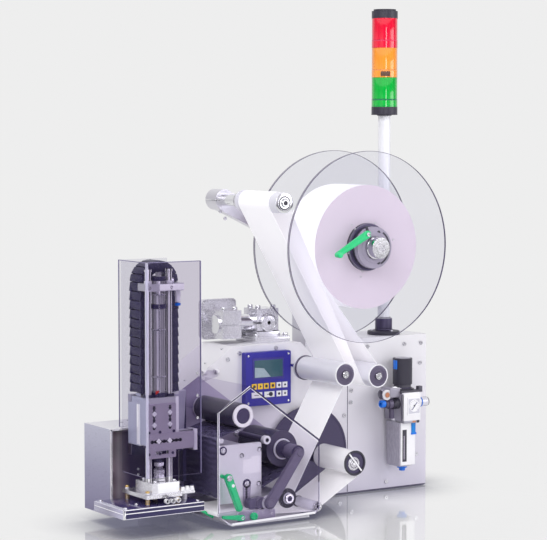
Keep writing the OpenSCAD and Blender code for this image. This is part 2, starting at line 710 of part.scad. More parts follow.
// tamp applicator, hung beside the left side of the print housing
tx = hx - 78;
tv = -112;
rx0 = tx - rod_pitch / 2;
rx1 = tx + rod_pitch / 2;
body_z0 = 134;
body_z1 = 206;
foot_z = 61;
foot_top = 78;
module tamp_bracket() {
    color("#a9a6b2") {
        bx(hx - 6, hx - tiny, -60, 70, 62, 158);
        bx(tx - 19, hx - tiny, -60, -50, 112, 205);
        bx(tx - 18, tx + 47, -75.9, -60, 140, 200);
        for (q = [[47, 80], [47, 140], [62, 80], [62, 140]])
            xc(hx - 11, hx - 5.5, q[0], q[1], 5, 6);
    }
}
module tamp_body() {
    color("#b8b4c4") difference() {
        union() {
            bx(tx - 27, tx + 28.5, -122, -76, body_z0, body_z1);
            bx(tx - 27.5, tx - 20.5, -102, -66, body_z0 - 2, body_z1 - 10);
            bx(tx + 28, tx + 54, -118, -114, body_z0 - 4, body_z0 + 20);
            bx(tx + 53.5, tx + 60, -124, -104, body_z0 - 12, body_z0 + 20);
            for (s = [-1, 1]) bx(ch_x + s * ch_r - 9, ch_x + s * ch_r + 9, -92, -77,
                body_z1 - 1, ch_base - 0.15);
        }
        for (x = [rx0, rx1]) zc(x, tv, body_z0 - 1, body_z1 + 1, rod_d / 2 + run);
        zc(tx, tv, body_z0 - 1, body_z1 + 1, 5 + run);
    }
}
module slot_plate() {
    color("#98919f") {
        difference() {
            slab(tx - 27, tx + 23, -124, -122 - tiny, body_z0 - 20, body_z1 - 9, 2);
            for (x = [tx - 15, tx + 12.5]) for (z = [body_z0 + 30:7:body_z1 - 14])
                yc(x, -127, -121, z, 2.4, 32);
            bx(tx - 12, tx + 10, -127, -121, body_z0 - 14, body_z0 - 9);
        }
        difference() {
            bx(tx - 25, tx + 53.4, -126.6, -124, body_z0 - 8, body_z0 + 18);
            for (x = [tx - 20:7:tx + 30]) yc(x, -127, -123.9, body_z0 + 6, 2, 32);
        }
    }
}
module barrel() {
    color("#d6d6dc") {
        difference() {
            union() {
                zc(tx, tv, body_z1 + tiny, 389, barrel_d / 2);
                zc(tx, tv, body_z1 + tiny, body_z1 + 8, barrel_d / 2 + 2);
                zc(tx, tv, 340, 347, barrel_d / 2 + 1.2);
            }
            zc(tx, tv, body_z1, 381, barrel_d / 2 - 2);
        }
        zc(tx, tv, 388.9, 395, 5, 6);
    }
}
box_x0 = tx - 50;
box_t = 2;
module shield_box() {
    color("#b4b2ba") difference() {
        bx(box_x0, hx - 6 - seat, -49.7, 36, 18, 152);
        bx(box_x0 + box_t, hx - 6 - seat - box_t, -51, 36 - box_t, 18 + box_t, 152 - box_t);
    }
}
cov_x0 = tx - 31;
cov_x1 = tx + 64;
cov_z0 = 86;
module tamp_cover() {
    color("#c3bfe0", 0.4) {
        bx(cov_x0, cov_x1, -130, -130 + cover_t, cov_z0, cov_z0 + cover_h);
        bx(cov_x0, cov_x0 + cover_t, -130, -52, cov_z0, cov_z0 + cover_h);
        bx(cov_x0, cov_x0 + cover_t, -53, -43, 154, cov_z0 + cover_h);
        bx(cov_x0, cov_x0 + 84, -46, -43, 154, cov_z0 + cover_h);
    }
    color("#8d8894") bx(cov_x0 + cover_t - 0.1, tx - 27.5 - tiny, -98, -90, 160, 200);
}
module guide_rods() {
    color("#dadae0") for (x = [rx0, rx1]) {
        zc(x, tv, foot_top - 8, 397, rod_d / 2);
        zc(x, tv, 396, 399.5, rod_d / 2 + 1);
    }
}
module tamp_yoke() {
    color("#c0bec8") difference() {
        bx(tx - 26, tx + 36, tv - 14.5, tv + 17, 367, 378);
        for (x = [rx0, rx1]) zc(x, tv, 366, 379, rod_d / 2 + tiny);
        zc(tx, tv, 366, 379, barrel_d / 2 + 2.3);
    }
}
module tamp_foot() {
    color("#e2e2e6") difference() {
        union() {
            bx(tx - 24, tx + 24, -132, -82, foot_z, foot_top);
            bx(tx - 34, tx + 28, -134, -56, foot_z - 6, foot_z + tiny);
            zc(tx, tv, foot_top - 1, body_z1 + stroke + 10, 5);
            zc(tx, tv, foot_top - 1, foot_top + 12, 8);
        }
        for (x = [rx0, rx1]) zc(x, tv, foot_top - 8 - tiny, foot_top + 1, rod_d / 2 + tiny);
        for (q = float_at) zc(q[0], q[1], foot_z - 8, foot_z + 1, 2 + run, 32);
        for (q = float_at) zc(q[0], q[1], foot_z - 1, foot_top + 1, 3.6, 32);
    }
}
float_at = [[tx - 29, -128], [tx - 29, -64], [tx + 22, -62], [tx + 23.5, -128]];
pad_x0 = tx - 10 - pad_w / 2;
pad_z1 = 45;
pad_gap = foot_z - 6 - pad_z1;
module tamp_pad() {
    color("#cfc9dc") {
        bx(pad_x0, pad_x0 + pad_w, -99 - pad_d / 2, -99 + pad_d / 2, pad_z1 - pad_t, pad_z1);
        for (q = float_at) {
            zc(q[0], q[1], pad_z1 - 1, foot_z + 3, 2, 32);
            zc(q[0], q[1], foot_z + 0.4, foot_z + 3, 3.2, 32);
        }
        zc(pad_x0 + pad_w - 14, -110, pad_z1 - 1, pad_z1 + 12, 4, 32);
        zc(pad_x0 + pad_w - 14, -80, pad_z1 - 1, pad_z1 + 12, 4, 32);
    }
}
module pad_springs() {
    color("#c9a04a") for (q = float_at) difference() {
        zc(q[0], q[1], pad_z1 + tiny, foot_z - 6 - tiny, 4, 32);
        zc(q[0], q[1], pad_z1 - 1, foot_z, 2.6, 32);
    }
}
// energy chain: an upside down U of links, each link a box with a rounded outside
ch_x = tx + 13;
ch_r = 24;
ch_h = 18;
ch_z = 378;
ch_v0 = -93;
ch_v1 = -57;
ch_d = ch_v1 - ch_v0;
link = 14;
ch_n = floor((ch_z - body_z1 - 3) / link);
ch_base = ch_z - ch_n * link;
module chain_link(x, z, a) {
    translate([x, fy + ch_v0 + ch_d / 2, z]) rotate([0, a, 0]) difference() {
        translate([-ch_h / 2, -ch_d / 2, 0.15]) cube([ch_h, ch_d, link - 0.3]);
        translate([-ch_h / 2 + 2.5, -ch_d / 2 + 3, -1]) cube([ch_h - 5, ch_d - 6, link + 2]);
    }
}
module energy_chain() {
    color("#2d2a40") {
        for (s = [-1, 1]) for (i = [0:ch_n - 1])
            chain_link(ch_x + s * ch_r, ch_z - (i + 1) * link, 0);
        translate([ch_x, fy + ch_v1, ch_z]) rotate([90, 0, 0]) difference() {
            cylinder(h = ch_d, r = ch_r + ch_h / 2, $fn = 96);
            translate([0, 0, -1]) cylinder(h = ch_d + 2, r = ch_r - ch_h / 2, $fn = 96);
            translate([-50, -59.85, -1]) cube([100, 60, ch_d + 4]);
        }
    }
}

print_housing();
print_front_panel();
unwinder_housing();
unwinder_front_panel();
screws();
operator_panel();
display_window();
keypad();
tower_pole();
tower_caps();
tier_green();
tier_amber();
tier_red();
mount_flange();
clamp_blocks();
clamp_tubes();
reel_support();
axles();
reel_discs();
reel_hub();
label_roll();
reel_lock_lever();
upper_roller();
infeed_roller();
dancer_roller();
label_web();
rewinder();
liner_roll();
print_head();
print_base();
head_lever();
latch_lever();
adjust_knob();
takeup_core();
takeup_ribbon();
supply_core();
supply_ribbon();
ribbon_arm();
ribbon_film();
web_guide_roller();
liner_guide_roller();
hood();
regulator_body();
regulator_knob();
regulator_bowl();
regulator_fittings();
gauge_needle();
drain_cock();
tamp_bracket();
tamp_body();
slot_plate();
barrel();
shield_box();
tamp_cover();
guide_rods();
tamp_yoke();
tamp_foot();
tamp_pad();
pad_springs();
energy_chain();
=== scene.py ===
import bpy
import bmesh
import math
from mathutils import Matrix, Vector


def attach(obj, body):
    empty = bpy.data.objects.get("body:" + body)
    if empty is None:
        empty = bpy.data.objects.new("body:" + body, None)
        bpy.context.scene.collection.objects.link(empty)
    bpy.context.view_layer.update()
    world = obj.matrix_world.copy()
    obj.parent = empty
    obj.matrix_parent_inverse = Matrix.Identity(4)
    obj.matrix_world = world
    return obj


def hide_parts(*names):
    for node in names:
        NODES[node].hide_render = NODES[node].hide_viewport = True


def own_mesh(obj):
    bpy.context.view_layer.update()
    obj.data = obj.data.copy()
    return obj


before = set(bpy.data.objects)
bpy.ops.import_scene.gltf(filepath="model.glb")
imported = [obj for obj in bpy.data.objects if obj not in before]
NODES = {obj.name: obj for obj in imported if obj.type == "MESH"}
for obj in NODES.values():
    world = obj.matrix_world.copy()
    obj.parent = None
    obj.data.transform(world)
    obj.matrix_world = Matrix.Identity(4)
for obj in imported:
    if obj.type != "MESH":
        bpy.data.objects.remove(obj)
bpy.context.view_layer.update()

# Label printer applicator: the looks of the CAD solids and the small fittings on them.
# Lengths are in mm in this file, and mm() brings them into the frame: x to the right, v from the
# panels' front face towards the back, z up.
FRONT_Y = -48.0


def mm(x, v, z):
    return Vector((x / 1000, (FRONT_Y + v) / 1000, z / 1000))


# camera at the photograph's angle: a long lens at the front left, looking a little down
SENSOR, LENS_LENGTH, CLIP_END = 36, 132.9, 60
CAMERA_AT = (-1917, -2757, 610)
CAMERA_TILT, CAMERA_TURN = math.radians(86.0), math.radians(-32.7)
cam_data = bpy.data.cameras.new("camera")
cam_data.sensor_width = SENSOR
cam_data.lens = LENS_LENGTH
cam_data.clip_end = CLIP_END
camera = bpy.data.objects.new("camera", cam_data)
bpy.context.scene.collection.objects.link(camera)
camera.location = mm(*CAMERA_AT)
camera.rotation_euler = (CAMERA_TILT, 0, CAMERA_TURN)
bpy.context.scene.camera = camera


# ---- materials ----
def node(tree, kind, inputs=None, **settings):
    """a shader node: an input that is given a socket is linked to it, any other is set to the value"""
    n = tree.nodes.new("ShaderNode" + kind)
    for key, value in settings.items():
        setattr(n, key, value)
    for key, value in (inputs or {}).items():
        if isinstance(value, bpy.types.NodeSocket):
            tree.links.new(value, n.inputs[key])
        else:
            n.inputs[key].default_value = value
    return n


def rgba(c):
    """a colour from three parts, or a grey from one"""
    return (*c, 1) if isinstance(c, tuple) else (c, c, c, 1)


def ramp(tree, source, stops):
    """the colour at source, a value from 0 to 1, between stops of (position, colour or grey)"""
    n = node(tree, "ValToRGB", {"Fac": source})
    points = n.color_ramp.elements
    while len(points) < len(stops):
        points.new(0.5)
    for point, (at, c) in zip(points, stops):
        point.position = at
        point.color = rgba(c)
    return n.outputs["Color"]


def new_mat(name):
    m = bpy.data.materials.new(name)
    m.use_nodes = True
    return m, m.node_tree, m.node_tree.nodes["Principled BSDF"]


def object_space(tree):
    return node(tree, "TexCoord").outputs["Object"]


def bump(tree, bsdf, source, strength, depth):
    """one more bump layer over what the surface has"""
    under = bsdf.inputs["Normal"].links
    n = node(tree, "Bump", {"Strength": strength, "Distance": depth, "Height": source})
    if under:
        tree.links.new(under[0].from_socket, n.inputs["Normal"])
    tree.links.new(n.outputs["Normal"], bsdf.inputs["Normal"])


GRAIN_DEPTH = 0.0004


def mat(name, color, rough=0.4, metal=0.0, grain=900, relief=0.03, vary=0.06, stretch=(1, 1, 1),
        coat=0.0, bevel=0.0005, rvary=0.08, cloud=18, spec=0.5, emit=0.0):
    """a surface whose tone varies by a coarse and a fine noise, the fine one also in gloss and relief"""
    m, t, b = new_mat(name)
    place = object_space(t)
    stretched = node(t, "Mapping", {"Scale": stretch, "Vector": place}).outputs["Vector"]
    coarse = node(t, "TexNoise", {"Scale": cloud, "Detail": 4, "Vector": place}).outputs["Fac"]
    fine = node(t, "TexNoise", {"Scale": grain, "Detail": 3, "Vector": stretched}).outputs["Fac"]
    half = node(t, "Math", {0: fine, 1: 0.5}, operation="MULTIPLY").outputs[0]
    both = node(t, "Math", {0: coarse, 1: 0.5, 2: half}, operation="MULTIPLY_ADD").outputs[0]
    dim = tuple(max(0, c * (1 - vary)) for c in color)
    bright = tuple(min(1, c * (1 + vary)) for c in color)
    t.links.new(ramp(t, both, ((0.3, dim), (0.7, bright))), b.inputs["Base Color"])
    gloss = node(t, "MapRange", {"To Min": max(0.02, rough - rvary), "To Max": min(1, rough + rvary),
                                 "Value": fine})
    t.links.new(gloss.outputs["Result"], b.inputs["Roughness"])
    for key, value in (("Metallic", metal), ("Specular IOR Level", spec), ("Coat Weight", coat),
                       ("Coat Roughness", 0.08)):
        b.inputs[key].default_value = value
    # emit is a painted glow: the surface gives off light in its own colour, though it is no lamp
    if emit:
        b.inputs["Emission Color"].default_value = rgba(color)
        b.inputs["Emission Strength"].default_value = emit
    if bevel:
        edge = node(t, "Bevel", {"Radius": bevel}, samples=4)
        t.links.new(edge.outputs["Normal"], b.inputs["Normal"])
    bump(t, b, fine, relief, GRAIN_DEPTH)
    return m


def clear(name, tint, rough=0.04, low=0.03, high=0.30, face=(0.06, 0.05, 0.09)):
    """see-through sheet: tint is what one face lets through, low and high are its shine head on and edge on"""
    m = mat(name, face, rough, 0, grain=300, relief=0.0, vary=0.03, rvary=0.02, bevel=0, spec=0.6)
    t = m.node_tree
    through = node(t, "BsdfTransparent", {"Color": rgba(tint)})
    edge_on = node(t, "LayerWeight", {"Blend": 0.3}).outputs["Facing"]
    shine = node(t, "MapRange", {"To Min": low, "To Max": high, "Value": edge_on}).outputs["Result"]
    mix = node(t, "MixShader", {"Fac": shine, 1: through.outputs[0], 2: t.nodes["Principled BSDF"].outputs[0]})
    t.links.new(mix.outputs[0], t.nodes["Material Output"].inputs["Surface"])
    return m


def shade(m, source, stops):
    """multiplies the colour of m by stops of (position, colour or grey) along a 0 to 1 source"""
    t = m.node_tree
    base = t.nodes["Principled BSDF"].inputs["Base Color"]
    mix = node(t, "Mix", data_type="RGBA", blend_type="MULTIPLY")
    mix.inputs["Factor"].default_value = 1
    t.links.new(base.links[0].from_socket, mix.inputs["A"])
    t.links.new(ramp(t, source, stops), mix.inputs["B"])
    t.links.new(mix.outputs["Result"], base)
    return m


def painted_light_along(m, axis, a, b, *stops):
    """painted light and shade: a tone that changes along X, Y or Z, from a to b in mm of the frame"""
    t = m.node_tree
    along = node(t, "SeparateXYZ", {0: object_space(t)}).outputs[axis]
    part = node(t, "MapRange", {"From Min": a / 1000, "From Max": b / 1000, "Value": along})
    return shade(m, part.outputs["Result"], stops)


def painted_light_by_angle(m, *stops):
    """painted reflection and shade: a tone that changes from head on (0) to edge on (1), as on polished round bars
    in a studio
    """
    return shade(m, node(m.node_tree, "LayerWeight", {"Blend": 0.5}).outputs["Facing"], stops)


def wound(m, centre, rings, tint=0.05):
    """fine wound lines round an axis along Y, for the end faces of rolls"""
    t = m.node_tree
    out = node(t, "VectorMath", {0: object_space(t), 1: centre}, operation="SUBTRACT").outputs[0]
    wave = node(t, "TexWave", {"Scale": rings, "Distortion": 0.3, "Detail": 2, "Vector": out},
                wave_type="RINGS", rings_direction="Y").outputs["Fac"]
    shade(m, wave, ((0, 1 - tint), (1, 1.0)))
    bump(t, t.nodes["Principled BSDF"], wave, 0.35, 0.0002)
    return m


def pulled(m):
    """the waves of a film that is pulled over rolls"""
    t = m.node_tree
    wave = node(t, "TexWave", {"Scale": 34, "Distortion": 5.0, "Detail": 3.0, "Detail Scale": 1.5,
                               "Vector": object_space(t)}, wave_type="BANDS", bands_direction="Z").outputs["Fac"]
    bump(t, t.nodes["Principled BSDF"], wave, 0.9, 0.0012)
    return m


PAINT = mat("housing_paint", (0.80, 0.785, 0.82), 0.42, 0, 1500, 0.05, 0.015, cloud=6, bevel=0.0008)
# painted shade: the front panels turn darker and more violet towards the bottom
PANEL = painted_light_along(mat("panel_paint", (0.83, 0.815, 0.85), 0.40, 0, 1500, 0.05, 0.015, cloud=6, bevel=0.0006),
               "Z", 0, 260, (0, (0.76, 0.735, 0.83)), (0.55, (0.92, 0.905, 0.94)), (1, 1.0))
STEEL = mat("steel", (0.62, 0.61, 0.65), 0.28, 1, 400, 0.03, 0.08)
# painted reflections: light and dark bands by viewing angle stand in for the studio mirrored in the polished rods
# and the barrel
RODC = painted_light_by_angle(mat("rod_chrome", (1.0, 1.0, 1.0), 0.10, 0.35, 500, 0.02, 0.01, coat=0.6),
              (0, 1.0), (0.045, 0.98), (0.09, 0.10), (0.20, 0.14), (0.27, 0.9), (0.55, 0.8), (0.72, 0.12), (1, 0.1))
TUBEC = painted_light_by_angle(mat("tube_polished", (0.94, 0.93, 0.97), 0.14, 0.4, 500, 0.02, 0.02, coat=0.5),
               (0, 1.0), (0.03, 1.0), (0.06, 0.42), (0.3, 0.50), (0.42, 0.16), (0.62, 0.62), (0.85, 0.2), (1, 0.1))
CHROME = mat("bright_steel", (0.82, 0.82, 0.85), 0.14, 1, 500, 0.02, 0.04)
ALU = mat("cast_aluminium", (0.74, 0.73, 0.78), 0.26, 0.85, 700, 0.10, 0.05, cloud=60)
ANOD = mat("anodised", (0.70, 0.69, 0.74), 0.34, 1, 1200, 0.05, 0.04)
SLOTM = mat("plate_mauve", (0.50, 0.455, 0.54), 0.34, 0.8, 1200, 0.05, 0.04)
ANODV = mat("anodised_violet", (0.50, 0.48, 0.60), 0.36, 1, 1200, 0.05, 0.05)
LIGHTPLATE = mat("plate_light", (0.66, 0.65, 0.70), 0.38, 0.4, 900, 0.05, 0.05, stretch=(1, 1, 8))
STAIN = mat("stainless", (0.66, 0.65, 0.70), 0.24, 1, 90, 0.06, 0.08, stretch=(1, 1, 30), rvary=0.06)
STAINV = mat("stainless_front", (0.60, 0.59, 0.66), 0.30, 1, 120, 0.05, 0.08, stretch=(30, 30, 1), rvary=0.06)
BLACK = mat("black_plastic", (0.030, 0.027, 0.045), 0.42, 0, 1800, 0.12, 0.15)
NAVY = mat("chain_navy", (0.030, 0.024, 0.072), 0.46, 0, 900, 0.12, 0.25, bevel=0.0004)
DARKV = mat("dark_violet", (0.060, 0.048, 0.105), 0.34, 0.3, 700, 0.06, 0.12)
ARMV = mat("arm_violet", (0.135, 0.115, 0.185), 0.38, 0.2, 900, 0.05, 0.08)
BLUEP = mat("panel_blue", (0.026, 0.020, 0.31), 0.38, 0, 1500, 0.08, 0.06)
LCD = mat("lcd", (0.040, 0.105, 0.135), 0.12, 0, 200, 0.0, 0.08, bevel=0, coat=0.6)
YEL = mat("key_yellow", (0.90, 0.56, 0.04), 0.42, 0, 1200, 0.05, 0.05)
WHITE = mat("white_plastic", (0.84, 0.83, 0.86), 0.36, 0, 900, 0.05, 0.02)
POLE = mat("pole_white", (0.84, 0.84, 0.88), 0.20, 0, 300, 0.02, 0.02, coat=0.4)
# painted shade and glow on the tower lenses: darker towards their edges, and a little emission that brightens them
LENS_PAINTED_SHADE = ((0, 1.0), (0.10, 0.92), (0.16, 1.0), (0.45, 0.86), (0.75, 0.7), (1, 0.5))
GREENL = painted_light_by_angle(mat("lens_green", (0.0, 0.44, 0.045), 0.10, 0, 300, 0.0, 0.10, coat=0.8, emit=0.10), *LENS_PAINTED_SHADE)
AMBERL = painted_light_by_angle(mat("lens_amber", (0.93, 0.31, 0.03), 0.10, 0, 300, 0.0, 0.10, coat=0.8, emit=0.12), *LENS_PAINTED_SHADE)
REDL = painted_light_by_angle(mat("lens_red", (0.78, 0.004, 0.035), 0.10, 0, 300, 0.0, 0.10, coat=0.8, emit=0.12), *LENS_PAINTED_SHADE)
BAND_GREEN = mat("band_green", (0.0, 0.19, 0.085), 0.16, 0, 300, 0.0, 0.10, coat=0.5)
BAND_AMBER = mat("band_amber", (0.88, 0.36, 0.09), 0.16, 0, 300, 0.0, 0.10, coat=0.5)
BAND_RED = mat("band_red", (0.80, 0.025, 0.10), 0.16, 0, 300, 0.0, 0.10, coat=0.5)
GREEN = mat("lever_green", (0.010, 0.56, 0.20), 0.30, 0, 900, 0.06, 0.08, coat=0.3)
DISC = clear("disc_clear", (0.965, 0.965, 0.985), 0.04, 0.02, 0.10)
EDGE = mat("disc_edge", (0.075, 0.06, 0.12), 0.2, 0, 300, 0, 0.05, bevel=0)
HOODM = clear("hood_clear", (0.95, 0.935, 0.975), 0.04, 0.02, 0.10)
HOODE = mat("hood_edge", (0.10, 0.08, 0.17), 0.2, 0, 300, 0, 0.05, bevel=0)
HOODL = mat("hood_pale", (0.84, 0.82, 0.88), 0.2, 0, 300, 0, 0.03, bevel=0)
COVM = clear("cover_clear", (0.76, 0.725, 0.81), 0.04, 0.02, 0.10)
COVS = clear("cover_side", (0.935, 0.93, 0.955), 0.04, 0.02, 0.06)
COVE = mat("cover_edge", (0.34, 0.31, 0.46), 0.2, 0, 300, 0, 0.05, bevel=0)
HUBG = mat("hub_grey", (0.30, 0.27, 0.36), 0.46, 0, 1300, 0.08, 0.08)
# painted shade and glow: the label paper darker towards the bottom, and a little emission though it is no lamp
PAPER = painted_light_along(mat("label_paper", (0.90, 0.885, 0.91), 0.42, 0, 1600, 0.04, 0.015, bevel=0, emit=0.20), "Z", 100,
               300, (0, 0.84), (1, 1.0))
LINER = mat("liner_paper", (0.86, 0.85, 0.87), 0.22, 0, 1200, 0.03, 0.015, bevel=0, coat=0.3)
ROLLER = mat("roller_alu", (0.74, 0.73, 0.80), 0.34, 0.25, 300, 0.02, 0.03, stretch=(1, 12, 1))
RUBBERF = mat("flange_dark", (0.095, 0.078, 0.135), 0.40, 0.2, 900, 0.06, 0.12)
RIBBON = mat("ribbon_black", (0.028, 0.024, 0.048), 0.30, 0, 500, 0.10, 0.3, bevel=0)
FRLB = mat("regulator_dark", (0.075, 0.070, 0.095), 0.45, 0, 900, 0.10, 0.15)
FRLG = mat("regulator_grey", (0.40, 0.39, 0.45), 0.36, 0.5, 700, 0.08, 0.08)
BOWL = mat("bowl_pale", (0.50, 0.49, 0.55), 0.25, 0, 300, 0, 0.1)
BLUEF = mat("fitting_blue", (0.0, 0.16, 0.72), 0.34, 0, 900, 0.05, 0.06)
BRASS = mat("brass", (0.72, 0.50, 0.20), 0.28, 1, 900, 0.04, 0.08)
PADM = mat("pad_lilac", (0.74, 0.72, 0.80), 0.40, 0.3, 900, 0.05, 0.04)
ORANGE = mat("orange", (0.50, 0.20, 0.10), 0.4, 0, 900, 0.05, 0.05)
REDM = mat("red_mark", (0.65, 0.03, 0.02), 0.45, 0, 900, 0.05, 0.05)
FILM = pulled(mat("film_black", (0.11, 0.096, 0.18), 0.20, 0.25, 500, 0.10, 0.3, bevel=0))
BROWN = mat("connector_brown", (0.12, 0.055, 0.03), 0.5, 0, 900, 0.05, 0.1)
HOSEM = mat("hose_dark", (0.05, 0.045, 0.08), 0.30, 0, 700, 0.03, 0.1)
# painted glow: the roll's end faces give off a little light of their own
ROLLF = wound(mat("roll_face", (0.75, 0.655, 0.73), 0.55, 0, 1500, 0.03, 0.02, bevel=0, emit=0.06),
              mm(-63.5, 0, 422.8), 220)
LROLLF = wound(mat("liner_face", (0.80, 0.78, 0.82), 0.5, 0, 1500, 0.03, 0.02, bevel=0), mm(-85, 0, 78.5), 300)


# ---- mesh helpers ----
FIXED = "machine"
CORE = 0.05


def place(name, me, m, body):
    """makes a piece of a mesh, with its material and the body it rides on"""
    o = bpy.data.objects.new(name, me)
    bpy.context.scene.collection.objects.link(o)
    o.data.materials.clear()
    o.data.materials.append(m)
    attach(o, body)
    return o


def finish(name, bm, m, body=FIXED, smooth=40):
    """makes the piece that rides on body, with edges sharper than smooth degrees kept sharp"""
    bmesh.ops.remove_doubles(bm, verts=bm.verts, dist=1e-7)
    bmesh.ops.recalc_face_normals(bm, faces=bm.faces)
    me = bpy.data.meshes.new(name)
    bm.to_mesh(me)
    bm.free()
    me.shade_smooth()
    me.set_sharp_from_angle(angle=math.radians(smooth))
    return place(name, me, m, body)


def pour(bm, part):
    """adds one mesh to another"""
    me = bpy.data.meshes.new("part")
    part.to_mesh(me)
    part.free()
    bm.from_mesh(me)
    bpy.data.meshes.remove(me)


AXES = {"y": Matrix.Rotation(math.radians(90), 4, "X"), "x": Matrix.Rotation(math.radians(90), 4, "Y"),
        "z": Matrix.Identity(4)}


def lathe_bm(bm, at, profile, axis="y", n=40, teeth=0, depth=0.0):
    """revolves a closed outline of (radius, height) points, with n sides; height runs to the viewer for y,
    right for x and up for z; a last bare height closes the face to the axis"""
    to_frame = Matrix.Translation(mm(*at)) @ AXES[axis]
    if not isinstance(profile[-1], tuple):
        profile = profile[:-1] + [(CORE, profile[-1]), (CORE, profile[0][1])]
    loops = []
    for r, h in profile:
        loop = []
        for i in range(n):
            a = 2 * math.pi * i / n
            toothed = teeth and r > depth * 3
            rr = r - depth * (0.5 + 0.5 * math.cos(a * teeth)) if toothed else r
            at_mm = rr * math.cos(a), rr * math.sin(a), h
            loop.append(bm.verts.new(to_frame @ Vector([q / 1000 for q in at_mm])))
        loops.append(loop)
    for a, b in zip(loops, loops[1:] + loops[:1]):
        for i in range(n):
            j = (i + 1) % n
            bm.faces.new((a[i], a[j], b[j], b[i]))


def lathe(name, at, profile, m, body=FIXED, axis="y", n=40, teeth=0, depth=0.0):
    bm = bmesh.new()
    lathe_bm(bm, at, profile, axis, n, teeth, depth)
    return finish(name, bm, m, body, 35)


def box_bm(bm, x0, x1, v0, v1, z0, z1, r=0.5, turn=None):
    """a box with edges bevelled by r, turned about its middle"""
    box = bmesh.new()
    bmesh.ops.create_cube(box, size=1)
    size = Vector(((x1 - x0) / 1000, (v1 - v0) / 1000, (z1 - z0) / 1000))
    for w in box.verts:
        w.co = Vector((w.co.x * size.x, w.co.y * size.y, w.co.z * size.z))
    bmesh.ops.bevel(box, geom=box.edges[:], offset=min(r / 1000, min(size) * 0.45), segments=2, affect="EDGES",
                    profile=0.6)
    if turn:
        box.transform(turn)
    box.transform(Matrix.Translation(mm((x0 + x1) / 2, (v0 + v1) / 2, (z0 + z1) / 2)))
    pour(bm, box)


def rbox(name, x0, x1, v0, v1, z0, z1, m, body=FIXED, r=0.5, turn=None):
    bm = bmesh.new()
    box_bm(bm, x0, x1, v0, v1, z0, z1, r, turn)
    return finish(name, bm, m, body)


def turned(name, points, profile, m, body=FIXED, axis="y", n=40):
    """one piece of the same turned shape at several points"""
    bm = bmesh.new()
    for at in points:
        lathe_bm(bm, at, profile, axis, n)
    return finish(name, bm, m, body)


def disc(r, h, middle):
    """the profile of a flat round shape, h thick at its edge"""
    return [(r, 0), (r, h), middle]


def boxes(name, rows, m, r):
    """one fixed piece of several boxes"""
    bm = bmesh.new()
    for row in rows:
        box_bm(bm, *row, r)
    return finish(name, bm, m)


def around(centre, v):
    """the point at v on an axis along Y through an (x, z) centre"""
    return centre[0], v, centre[1]


def along_y(x, z, body=FIXED):
    """a maker of turned pieces on one axis along Y, each at its v"""
    def make(name, v, profile, m, body=body, **shape):
        return lathe(name, (x, v, z), profile, m, body, **shape)
    return make


def along_z(x, v, body=FIXED):
    """a maker of turned pieces on one axis along Z, each at its z"""
    def make(name, z, profile, m, body=body, **shape):
        return lathe(name, (x, v, z), profile, m, body, "z", **shape)
    return make


def plate(name, outline, v0, v1, m, body=FIXED, r=0.4):
    """an outline of (x, z) points from v0 to v1, with bevels of r"""
    bm = bmesh.new()
    front = [bm.verts.new(mm(x, v0, z)) for x, z in outline]
    back = [bm.verts.new(mm(x, v1, z)) for x, z in outline]
    bm.faces.new(front)
    bm.faces.new(list(reversed(back)))
    k = len(outline)
    for i in range(k):
        bm.faces.new((front[i], front[(i + 1) % k], back[(i + 1) % k], back[i]))
    bmesh.ops.recalc_face_normals(bm, faces=bm.faces)
    if r:
        rims = [e for e in bm.edges if all(w in front for w in e.verts) or all(w in back for w in e.verts)]
        bmesh.ops.bevel(bm, geom=rims, offset=r / 1000, segments=2, affect="EDGES")
    return finish(name, bm, m, body)


def polar(cx, cz, r, angle):
    """the (x, z) point at r and angle round a centre"""
    return cx + r * math.cos(angle), cz + r * math.sin(angle)


def rounded(x0, x1, z0, z1, r, n=5):
    """a rectangle with round corners"""
    corners = ((x1 - r, z1 - r, 0), (x0 + r, z1 - r, 90), (x0 + r, z0 + r, 180), (x1 - r, z0 + r, 270))
    return [polar(cx, cz, r, math.radians(a + 90 * i / n)) for cx, cz, a in corners for i in range(n + 1)]


def stadium(a, b, ra, rb, n=10):
    """a bar with round ends of ra at a and rb at b"""
    along = Vector((b[0] - a[0], b[1] - a[1]))
    p = math.atan2(along.y, along.x)
    t = math.acos((ra - rb) / along.length)
    return ([polar(a[0], a[1], ra, p + t + (2 * math.pi - 2 * t) * i / n) for i in range(n + 1)]
            + [polar(b[0], b[1], rb, p - t + 2 * t * i / n) for i in range(n + 1)])


def socket_bm(bm, at, r, h, axis="y"):
    """socket head cap screw standing h proud, with a recess"""
    lathe_bm(bm, at, [(r * 0.96, 0), (r, 0.15 * h), (r, h * 0.85), (r * 0.92, h), (r * 0.56, h),
             (r * 0.52, h * 0.35), h * 0.3], axis, 18)


def screws(name, points, r, h, m, body=FIXED, axis="y"):
    """one piece of all the like screws at several points"""
    bm = bmesh.new()
    for q in points:
        socket_bm(bm, q, r, h, axis)
    return finish(name, bm, m, body)


def tube(name, points, r, m, body=FIXED, res=6, smooth=True):
    """a round bar or hose of radius r along points, as a curve or straight from point to point"""
    cu = bpy.data.curves.new(name, "CURVE")
    cu.dimensions = "3D"
    cu.bevel_depth = r / 1000
    cu.bevel_resolution = res
    cu.use_fill_caps = True
    sp = cu.splines.new("NURBS" if smooth else "POLY")
    sp.points.add(len(points) - 1)
    for p, q in zip(sp.points, points):
        p.co = (*mm(*q), 1)
    if smooth:
        sp.use_endpoint_u = True
        sp.order_u = 4
        sp.resolution_u = 4
    o = bpy.data.objects.new(name, cu)
    bpy.context.scene.collection.objects.link(o)
    me = bpy.data.meshes.new_from_object(o.evaluated_get(bpy.context.evaluated_depsgraph_get()))
    bpy.data.objects.remove(o)
    me.name = name
    me.shade_smooth()
    return place(name, me, m, body)


